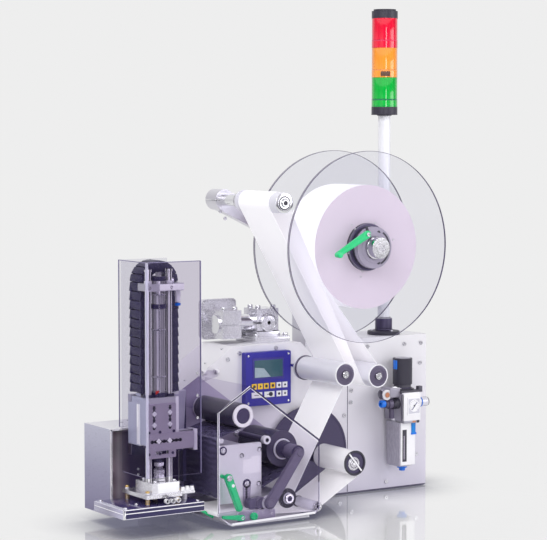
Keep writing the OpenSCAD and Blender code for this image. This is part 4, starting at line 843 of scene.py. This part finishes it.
# ---- print head, ribbon and hood ----
HP = mat("head_plate", (0.72, 0.71, 0.75), 0.34, 0.5, 160, 0.05, 0.06, stretch=(1, 1, 14), bevel=0.0004)
plate("head_front", rounded(-330, -253, 34, 125, 3), -130.5, -129.8, HP, r=0.3)
HEAD_SCREWS = [(-323, 117, 7.0), (-290, 106, 3.0), (-258, 113.5, 3.2), (-259, 60, 3.2), (-280, 62, 7.5)]
bm = bmesh.new()
for x, z, r in HEAD_SCREWS:
    if r > 5:
        lathe_bm(bm, (x, -130.4, z), [(r, 0), (r, 0.5), (r - 0.8, 0.9), (r * 0.62, 0.9), (r * 0.6, 0.3)], "y", 28)
finish("plate_rings", bm, DARKV)
bm = bmesh.new()
for x, z, r in HEAD_SCREWS:
    q = min(r, 4.2)
    lathe_bm(bm, (x, -130.8, z), [(q, 0), (q, 1.2), (q * 0.85, 1.7), (q * 0.5, 1.7), (q * 0.45, 0.5), 0.5], "y", 22)
finish("plate_screws_big", bm, STEEL)
# black discs set a little off three screws: painted shadows
turned("plate_screw_shades", [(x + 1, -130.6, z + 0.6) for x, z, r in HEAD_SCREWS[1:4]], disc(3.9, 0.3, 0.4), BLACK,
       n=16)
plate("plate_blank", [(-287, 78), (-256, 78), (-256, 104), (-272, 104), (-272, 100), (-287, 100)], -130.75, -130.4,
      mat("blank_plate", (0.80, 0.785, 0.81), 0.4, 0, 700, 0.02, 0.03, bevel=0), r=0.1)
LINK_M = mat("link_grey", (0.36, 0.33, 0.42), 0.36, 0.4, 900, 0.05, 0.08, bevel=0)
plate("slot_link", stadium((-280, 58), (-281, 32), 7.4, 6.2), -131.3, -130.5, LINK_M, r=0.3)
turned("slot_link_marks", [(-281, -131.3, z) for z in range(34, 56, 4)], [(2.2, 0), (2.0, 0.3), 0.35], BLACK, n=12)
plate("head_cam", rounded(-286, -250, 24, 40, 6), -146, -132, mat("cam_violet", (0.10, 0.085, 0.15), 0.4, 0.2, 900,
      0.06, 0.1), r=1.0)
lathe("cam_boss", (-263, -150, 31.7), [(9.5, -16), (10, -15), (10, -3), (9, -2)], ARMV)

# green levers
LEVER_TOP, LEVER_LOW = (-325.5, 78), (-306.5, 30)
plate("head_lever_face", stadium(LEVER_TOP, LEVER_LOW, 5.0, 3.8), -154.0, -152.4, GREEN, "head_latch", 0.7)
lathe("head_lever_boss", around(LEVER_TOP, -153.4), [(4.6, 0), (4.6, 1.6), (4.0, 2.2), (2.2, 2.2), (2, 1), 1],
      STEEL, "head_latch", n=20)
lathe("head_lever_eye", (-319, -153.9, 66), disc(2.6, 0.6, 0.7), WHITE, "head_latch", n=18)
lathe("head_lever_tip", around(LEVER_LOW, -148.2), [(5.6, 0), (5.8, 0.5), (5.8, 3.6), (5.4, 4.2)], GREEN,
      "head_latch", n=28)
plate("latch_face", [(-334, 15.6), (-302, 11.0), (-299, 14), (-302, 18.6), (-334, 20.2)], -152.6, -151.8, GREEN,
      "base_latch", 0.3)
screws("latch_screw", [(-301, -152, 14)], 2.6, 1.4, CHROME, "base_latch")
lathe("knob_ribs", (-279, -151.8, 14), [(6.2, -3.4), (6.3, -3), (6.3, 0.6), (5.4, 1.4), (3.4, 1.6), (3, 0.9), 0.9],
      GREEN, "knob", "y", 48, 12, 1.1)
plate("latch_blade", [(-357, 26), (-352, 28.5), (-329, 13.5), (-331, 10.2)], -114, -108, GREEN, r=0.5)
screws("base_plate_screws", [(x, -147.5, z) for x, z in ((-262, 20), (-245, 15), (-247, 22))], 2.0, 1.0, STEEL)
plate("base_plate_face", [(-307, 8), (-303, 5), (-244, 4.6), (-238.6, 9), (-239.4, 20), (-247, 23), (-303, 22.6),
      (-307, 19)], -148.0, -147.4, LINK_M, r=0.25)

# ribbon: take-up with a pale rim, dark core and bearing lip
on_takeup = along_y(-286, 168, "takeup")
on_takeup("takeup_rim", -130, [(12.3, -1), (12.3, 0.8), (13, 1.4), (17, 1.4), (17.8, 0.8), (17.9, -2)],
          mat("rim_ivory", (0.86, 0.84, 0.84), 0.35, 0, 900, 0.03, 0.02, bevel=0), n=56)
on_takeup("takeup_well", -129, [(12.2, 0.4), (12.2, -3), (11.4, -8), (7, -8), (6.6, -6.6), -6.4], DARKV, n=48)
on_takeup("takeup_wraps", -126.9, [(17.7, 0), (18.9, 0.1), (18.9, 0.5), (17.7, 0.6)], RIBBON, n=56)
on_supply = along_y(-196, 105.5, "supply")
on_supply("supply_face", -100.1, [(16.6, 0), (16.6, 0.5), (28.6, 0.5), (28.9, 0.1)],
          mat("supply_face", (0.075, 0.062, 0.115), 0.30, 0.2, 600, 0.04, 0.15, bevel=0), n=72)
on_supply("supply_ring", -102, [(14.2, 0), (14.2, 2.2), (15, 2.6), (16.4, 2.6), (16.6, 2), (16.6, 0)],
          mat("ring_pale", (0.80, 0.78, 0.86), 0.3, 0, 900, 0.03, 0.02, bevel=0), n=56)
on_supply("supply_hub", -147.6, [(11.4, -45), (11.6, -44), (11.6, -2), (10.6, -0.2), (4.4, 0.1), (4, -1), -1], ARMV,
          n=48)
on_supply("supply_hub_step", -122, [(11.6, -22), (13.2, -21.6), (13.2, 0), (11.6, 0.4)], DARKV, n=48)
# ribbon arm
ARM_LOW, ARM_TOP = (-250, 31.7), (-196, 105.5)
plate("arm_face", stadium(ARM_LOW, ARM_TOP, 8.6, 7.6), -154.0, -152.6, ARMV, "arm", 0.7)
for nm, q, r in (("low", ARM_LOW, 6.6), ("top", ARM_TOP, 5.6)):
    lathe("arm_boss_" + nm, around(q, -153.9), [(r, 0), (r, 0.7), (r - 0.6, 1.2), (r - 1.8, 1.2), (r - 2, 0.8),
          0.8], ARMV, "arm", n=36)
# guide rod between plate and panel
on_guide = along_y(-236, 125)
on_guide("guide_end", -119.8, [(6.4, -8), (6.7, -7.4), (6.7, 0.4), (6, 1.0), (3.6, 1.0), (3.4, 0.2), 0.2], WHITE,
         n=36)
on_guide("guide_hex", -120.6, disc(2.9, 0.3, 0.3), BLACK, n=12)
on_guide("guide_back", -34.2, [(4, -6), (6.7, -5.6), (6.7, -0.4), (6, 0.2), (4.05, 0.2)], STEEL, n=36)
on_guide("guide_sleeve", -110, [(4.05, -68), (4.9, -67.6), (4.9, -1), (4.05, 0)], DARKV, n=32)
# web guide and liner guide
on_web_guide, on_liner_guide = along_y(-215, 35.5), along_y(-163, 18)
on_web_guide("wg_flange_face", -147.6, [(9, 0), (9, 0.4), (13.5, 0.4), (15.3, 0.1), (15.6, -0.6), (15.6, -3.2)],
             BLACK, n=56, body="web_roll")
on_web_guide("wg_hub", -153, [(7.4, -5), (7.8, -4.4), (7.8, -0.4), (7.0, 0.3), (4.4, 0.3), (4.0, -0.6), -0.6],
             CHROME)
on_web_guide("wg_hub_bore", -152.8, disc(4.7, 0.25, 0.3), DARKV, n=28)
on_liner_guide("lg_face", -153.4, [(7.6, -1.2), (7.9, -0.8), (7.9, 0.2), (7.3, 0.6), (4.4, 0.6), (4.2, 0), 0],
               STEEL, n=36)
on_liner_guide("lg_hex", -153.9, disc(2.6, 0.3, 0.3), BLACK, n=12)
on_liner_guide("lg_collar", -92, [(8.1, -6), (9.6, -5.4), (9.6, -0.4), (9, 0.2), (8.1, 0.3)], WHITE, n=36)
on_liner_guide("lg_ring", -96, [(8.1, 0), (9, 0.3), (9, 2.4), (8.1, 2.8)], BLACK, n=36)

# painted shadow: a thin violet sheet on the panel under the hood, where there is only shade
HOOD_SHADOW_PAINT = mat("hood_shade", (0.44, 0.385, 0.545), 0.45, 0, 900, 0.03, 0.04, cloud=9, bevel=0)
plate("hood_painted_shadow", [(-346, 6), (-346, 182), (-289, 216), (-164, 125), (-164, 6)], -0.5, -0.05, HOOD_SHADOW_PAINT, r=0.1)
# hood: dark sight edge along the slope and the right, pale ridge and lip; the white lines along the ridge and the
# pale line down the left edge are painted highlights
HB = mat("hood_band", (0.035, 0.024, 0.075), 0.2, 0, 300, 0, 0.05, bevel=0)
HOOD_FACE = (-157.2, -156.6)
HOOD_L, HOOD_TOP, HOOD_R = (-347, 182.5), (-289, 217.5), (-162, 125)


def strip(name, a, b, w, v0, v1, m, body):
    """a straight band, w wide, under the line from a to b"""
    d = Vector((b[0] - a[0], b[1] - a[1])).normalized()
    n = Vector((-d.y, d.x)) * w
    return plate(name, [a, b, (b[0] - n.x, b[1] - n.y), (a[0] - n.x, a[1] - n.y)], v0, v1, m, body, 0.15)


strip("hood_slope", HOOD_TOP, HOOD_R, 2.6, *HOOD_FACE, HB, "hood_body")
strip("hood_slope_line", (HOOD_TOP[0] + 1.5, HOOD_TOP[1] - 4), (HOOD_R[0] - 2, HOOD_R[1] - 3.6), 1.0, -157.2,
      -156.7, WHITE, "hood_body")
plate("hood_right", [(-164.4, 125), (-162, 124.4), (-162, 58), (-164.4, 58)], *HOOD_FACE, HB, "hood_body", 0.15)
plate("hood_right_low", [(-163.2, 58), (-162, 58), (-162, 14), (-163.2, 14)], *HOOD_FACE, COVE, "hood_body", 0.15)
strip("hood_left_slope", HOOD_L, HOOD_TOP, 1.9, *HOOD_FACE, HB, "hood_body")
strip("hood_left_line", (HOOD_L[0] + 1, HOOD_L[1] - 1.6), (HOOD_TOP[0], HOOD_TOP[1] - 2.2), 0.8, -157.3, -156.7,
      WHITE, "hood_body")
plate("hood_left", [(-346.4, 182.5), (-345.2, 183.4), (-345.2, 26), (-346.4, 26)], *HOOD_FACE,
      mat("hood_line", (0.74, 0.70, 0.86), 0.2, 0.1, 500, 0.02, 0.03, bevel=0), "hood_body", 0.15)
plate("hood_left_dark", [(-347.2, 182), (-346.4, 182.5), (-346.4, 26), (-347.2, 26)], *HOOD_FACE, HB, "hood_body",
      0.1)
plate("hood_lip", [(-325, 5), (-170, 8), (-170, 11.5), (-322, 8.6)], -157.2, -156.4, WHITE, "hood_body", 0.2)

# ---- regulator ----
GAUGE_X, GAUGE_Z = 97.3, 147
on_gauge = along_y(GAUGE_X, GAUGE_Z)
on_reg = along_z(94, -27)
RB = mat("body_white", (0.82, 0.81, 0.84), 0.36, 0.1, 900, 0.05, 0.03, bevel=0.0003)
RG = mat("body_grey", (0.34, 0.32, 0.39), 0.34, 0.3, 900, 0.05, 0.08)
on_reg("knob_grip", 172, [(14.5, 0), (15.6, 0.6), (15.6, 4), (13.8, 5), (13.8, 8), (16.2, 9), (16.4, 10),
       (16.4, 50), (15.4, 52.4), (13, 53.2), 53.4], mat("knob_violet", (0.052, 0.042, 0.085), 0.26, 0, 900, 0.04,
       0.1, coat=0.4), n=72, teeth=36, depth=0.45)
on_reg("knob_top", 224.8, [(12.6, 0), (12.6, 0.5), (12, 0.9), 0.9], FRLG)
rbox("knob_blue", 76.7, 79.4, -33, -24, 207, 222, BLUEF, r=0.6)
on_reg("lock_ring", 166, [(19, 0), (19.6, 0.6), (19.6, 7.4), (18.8, 8), (14, 8)], BLACK, n=48, teeth=24, depth=0.7)
rbox("block_front", 76.5, 111.5, -54.9, -53.8, 122, 168, RB, r=0.8)
rbox("block_top", 76.5, 111.5, -54.6, -1, 166.5, 169, RB, r=0.8)
rbox("block_left", 74.6, 75.6, -53, -3, 121, 167, RG, r=0.3)
rbox("block_seam", 74.3, 75.2, -51.8, -50.2, 122, 166, BLACK, r=0.2)
rbox("gauge_frame", 84, 110.6, -55.9, -54.6, 131, 161, WHITE, r=1.6)
plate("gauge_plate", rounded(86, 108.6, 134, 158.6, 1.2), -56.2, -55.7, mat("gauge_clear", (0.60, 0.59, 0.67), 0.2,
      0.1, 900, 0.02, 0.05, bevel=0), r=0.3)
on_gauge("gauge_dial", -56.1, disc(10.4, 0.3, 0.35), WHITE, n=48)
bm = bmesh.new()
TICKS, FIRST_TICK, TICK_STEP = 13, 225, 22.5
for i in range(TICKS):
    tick = bmesh.new()
    box_bm(tick, -0.22, 0.22, -0.1, 0.1, 7.6, 9.6 if i % 3 == 0 else 8.8, 0.03)
    tick.transform(Matrix.Translation(-mm(0, 0, 0)))
    tick.transform(Matrix.Rotation(math.radians(FIRST_TICK - i * TICK_STEP) - math.pi / 2, 4, "Y").inverted())
    tick.transform(Matrix.Translation(mm(GAUGE_X, -56.5, GAUGE_Z)))
    pour(bm, tick)
finish("gauge_ticks", bm, BLACK)
plate("gauge_hand", [(92, 140.6), (93.2, 140), (103.6, 152.6), (102.6, 153.2)], -56.9, -56.6,
      mat("hand_blue", (0.03, 0.03, 0.16), 0.4, 0, 500, 0, 0.05, bevel=0), "needle", 0.05)
on_gauge("gauge_hub", -56.6, disc(1.4, 0.7, 0.8), BLACK, n=18, body="needle")
on_reg("collar_ring", 119.6, [(19, 0), (20, 0.5), (20, 4.6), (19.2, 5.2)], CHROME, n=48)
rbox("collar_front", 77.5, 110.5, -54.2, -46, 117.5, 122.5, FRLG, r=1.2)
rbox("collar_orange", 95, 102, -54.6, -53.6, 118.4, 121.4, ORANGE, r=0.3)
rbox("collar_black", 104, 109, -54.8, -53.4, 117.6, 122, BLACK, r=0.4)
rbox("bowl_latch", 98, 106.5, -48.4, -45.6, 99, 117, mat("latch_blue", (0.0, 0.20, 0.62), 0.3, 0, 900, 0.04, 0.05),
     r=0.8)
rbox("bowl_latch_foot", 97.5, 108, -48.6, -45.6, 97, 100.4, BLUEF, r=0.5)
rbox("bowl_front", 76.6, 106.5, -46.9, -45.4, 46, 118, mat("bowl_white", (0.83, 0.82, 0.85), 0.3, 0, 900, 0.03,
     0.03, bevel=0), r=1.2)
rbox("bowl_left", 74.0, 76.6, -46.2, -9, 44, 119, mat("bowl_grey", (0.40, 0.38, 0.45), 0.26, 0.2, 300, 0.04, 0.12,
     stretch=(8, 8, 0.4)), r=0.8)
rbox("sight", 80, 88.6, -47.3, -46.6, 52, 106, BLACK, r=0.3)
rbox("sight_level", 82, 84.6, -47.5, -47.1, 56, 96, mat("sight_grey", (0.30, 0.27, 0.34), 0.2, 0, 900, 0, 0.3,
     bevel=0), r=0.2)
on_reg("bowl_foot", 43, [(15, 0), (16.5, 0.6), (17.5, 2)], mat("bowl_foot", (0.7, 0.69, 0.73), 0.3, 0, 900, 0.03,
       0.03), n=48)
on_reg("drain_wings", 33.6, [(3.4, 0), (5.0, 0.8), (5.0, 4.4), (8.2, 5), (8.6, 5.6), (8.6, 9.2), (7.4, 9.8)], BLUEF,
       n=24, teeth=6, depth=0.9, body="drain")
lathe("fit_right", (113, -27, 148), [(7, 0), (7, 3), (8.4, 3.6), (8.4, 17), (7.4, 18), (7.4, 26), (8.2, 27),
      (8.2, 31)], mat("fit_clear", (0.74, 0.73, 0.80), 0.18, 0.2, 300, 0.02, 0.06), axis="x", n=36)
lathe("fit_right_end", (143.6, -27, 148), [(6.6, 0), (7.4, 0.4), (7.4, 2), (5.2, 2.3), (4.8, 0), 0], BLACK,
      axis="x", n=32)
lathe("fit_right_blue", (129, -27, 148), [(8.5, 0), (8.7, 0.3), (8.7, 2.2), (8.5, 2.5)], BLUEF, axis="x", n=32)
rbox("block_plug", 112.5, 120.5, -48, -40, 168, 178, FRLB, r=0.8)
lathe("fit_left_a", (75, -40, 151), [(8.6, 0), (9.2, -0.6), (9.2, -7), (8, -7.6), (7, -9), (7, -12)], BLACK,
      axis="x", n=36)
lathe("fit_left_b", (62, -40, 151), [(7.6, 0), (8.2, -0.6), (8.2, -8), (7.2, -8.6), (5.6, -9), (5.6, -14)], RUBBERF,
      axis="x", n=36)
lathe("fit_left_shine", (66, -44, 151), [(4.4, 0), (4.6, 1), (4.2, 4.4), 5], BLACK, n=32)
lathe("fit_left_blue", (47.6, -40, 152), [(5.4, 0), (6.2, -0.6), (6.2, -8), (5.4, -8.6), (3.2, -8.6), (3, -5), -5],
      BLUEF, axis="x", n=32)
lathe("plug_body", (56, -34, 167), [(7.4, 0), (8.2, -0.6), (8.2, -12), (7.4, -12.6)], RG, axis="x", n=36)
lathe("plug_ring", (50, -44, 167), [(8.4, -3), (8.8, -2.4), (8.8, 0), (7.8, 0.6), (5.2, 0.6), (4.8, -0.4), -0.4],
      mat("plug_white", (0.7, 0.69, 0.72), 0.35, 0, 900, 0.03, 0.03), n=32)
lathe("plug_core", (50, -44.6, 167), [(4.2, 0), (4.2, 0.6), (1.6, 0.7), (1.4, 0.2), 0.2], ORANGE, n=24)
rbox("plug_arm", 55, 76, -46, -20, 162, 178, RG, r=1.5)
tube("gauge_pipe", [(60, -44, 179), (66, -46, 180), (78, -44, 176), (84, -40, 172)], 1.6, CHROME)
lathe("left_nozzle", (62, -40, 143), [(4.4, 0), (4.4, -16), (3.4, -17)], RUBBERF, axis="z", n=24)

# ---- floor, surroundings and light ----
STAGE_X, STAGE_R = -0.2, 3.0
SHEEN_Z, FLOOR_Z = -0.0015, -0.16
BG = 0.855


def stage_plane(name, z, m):
    bm = bmesh.new()
    bmesh.ops.create_circle(bm, cap_ends=True, segments=64, radius=STAGE_R)
    me = bpy.data.meshes.new(name)
    bm.to_mesh(me)
    bm.free()
    p = bpy.data.objects.new(name, me)
    p.location = (STAGE_X, 0, z)
    bpy.context.scene.collection.objects.link(p)
    p.data.materials.append(m)


def part_way(t, value, a, b, low=0.0, high=1.0):
    """low at a, high at b"""
    return node(t, "MapRange", {"From Min": a, "From Max": b, "To Min": low, "To Max": high,
                                "Value": value}).outputs["Result"]


def off_centre(t):
    """metres from the middle of the floor"""
    return node(t, "VectorMath", {0: object_space(t)}, operation="LENGTH").outputs["Value"]


def maths(t, operation, a, b):
    return node(t, "Math", {0: a, 1: b}, operation=operation).outputs[0]


def mix_shader(t, fac, a, b):
    return node(t, "MixShader", {"Fac": fac, 1: a, 2: b}).outputs[0]


# a thin mirror that fades away from the machine, with a painted contact shadow near whatever stands on it
m, t, b = new_mat("floor_gloss")
mirror = part_way(t, off_centre(t), 0.6, 1.4, 0.52, 0.0)
# it shows at grazing views alone, so that steep views from behind don't catch the lamps
edge_on = node(t, "LayerWeight", {"Blend": 0.5}).outputs["Facing"]
mirror = maths(t, "MULTIPLY", mirror, part_way(t, edge_on, 0.75, 0.82))
near = node(t, "AmbientOcclusion", {"Distance": 0.11}, samples=8).outputs["AO"]
dark = ramp(t, near, ((0.25, (0.20, 0.20, 0.27)), (0.95, 1.0)))
through = node(t, "BsdfTransparent", {"Color": dark}).outputs[0]
gloss = node(t, "BsdfGlossy", {"Roughness": 0.06, "Color": dark}).outputs[0]
t.links.new(mix_shader(t, mirror, through, gloss), t.nodes["Material Output"].inputs["Surface"])
stage_plane("floor_sheen", SHEEN_Z, m)

# the pale floor below it: lit by the lamps near the machine, of the background's tone further out
m, t, b = new_mat("floor_pale")
rays = node(t, "LightPath").outputs
seen = maths(t, "MAXIMUM", rays["Is Camera Ray"], rays["Is Glossy Ray"])
flat = maths(t, "MULTIPLY", seen, part_way(t, off_centre(t), 0.35, 1.1, 0.75, 1.0))
lit = node(t, "BsdfDiffuse", {"Color": (0.86, 0.86, 0.87, 1)}).outputs[0]
plain = node(t, "Emission", {"Color": rgba(BG)}).outputs[0]
t.links.new(mix_shader(t, flat, lit, plain), t.nodes["Material Output"].inputs["Surface"])
stage_plane("floor_base", FLOOR_Z, m)

# the world: a plain background for the camera, soft light, and a studio of bands for the gloss to mirror
world = bpy.data.worlds.new("world")
bpy.context.scene.world = world
world.use_nodes = True
t = world.node_tree
soft = t.nodes["Background"]
soft.inputs["Color"].default_value = (0.93, 0.93, 0.96, 1)
soft.inputs["Strength"].default_value = 0.55
plain = node(t, "Background", {"Color": rgba(BG), "Strength": 1}).outputs[0]
rays = node(t, "LightPath").outputs
way = node(t, "TexCoord").outputs["Generated"]
away = node(t, "VectorMath", {0: way, 1: (0.54, 0.84, 0)}, operation="DOT_PRODUCT").outputs["Value"]
band = node(t, "TexWave", {"Scale": 0.62, "Phase Offset": 1.2, "Vector": way},
            wave_type="BANDS", bands_direction="X").outputs["Fac"]
band = ramp(t, band, ((0.28, (0.20, 0.17, 0.30)), (0.62, 1.0)))
up = part_way(t, node(t, "SeparateXYZ", {0: way}).outputs["Z"], -1, 1)
RISE = ((0.0, 0.30), (0.42, 0.22), (0.52, 0.75), (0.62, 1.0), (0.80, 0.55), (1.0, 1.0))
rise = ramp(t, up, [(at, (c, c * 0.98, min(1, c * 1.04))) for at, c in RISE])
bands = node(t, "Mix", data_type="RGBA", blend_type="MULTIPLY")
bands.inputs["Factor"].default_value = 1
t.links.new(band, bands.inputs["A"])
t.links.new(rise, bands.inputs["B"])
studio = node(t, "Background", {"Strength": 0.9, "Color": bands.outputs["Result"]}).outputs[0]
studio = mix_shader(t, part_way(t, away, 0.1, 0.5), studio, plain)
unseen = mix_shader(t, rays["Is Glossy Ray"], soft.outputs[0], studio)
seen = maths(t, "MAXIMUM", rays["Is Camera Ray"], rays["Is Transmission Ray"])
t.links.new(mix_shader(t, seen, unseen, plain), t.nodes["World Output"].inputs["Surface"])


def lamp(name, at, target, size, power, height=None):
    """a soft lamp in metres and watts, square unless it has a height, and not seen by the camera"""
    light = bpy.data.lights.new(name, "AREA")
    light.energy = power
    light.size = size
    if height:
        light.shape = "RECTANGLE"
        light.size_y = height
    o = bpy.data.objects.new(name, light)
    o.location = at
    o.rotation_euler = (Vector(target) - Vector(at)).to_track_quat("-Z", "Y").to_euler()
    o.visible_camera = False
    bpy.context.scene.collection.objects.link(o)


lamp("key", (-2.2, -1.6, 2.2), (-0.2, 0, 0.2), 1.6, 50)
lamp("fill", (1.6, -2.2, 1.2), (-0.2, 0, 0.3), 1.8, 26)
lamp("top", (-0.2, 0.3, 2.6), (-0.2, 0, 0.2), 1.8, 20)
lamp("strip", (-0.9, -2.6, 0.9), (-0.3, -0.1, 0.3), 0.4, 10, 1.6)

bpy.context.scene.view_settings.view_transform = "Standard"
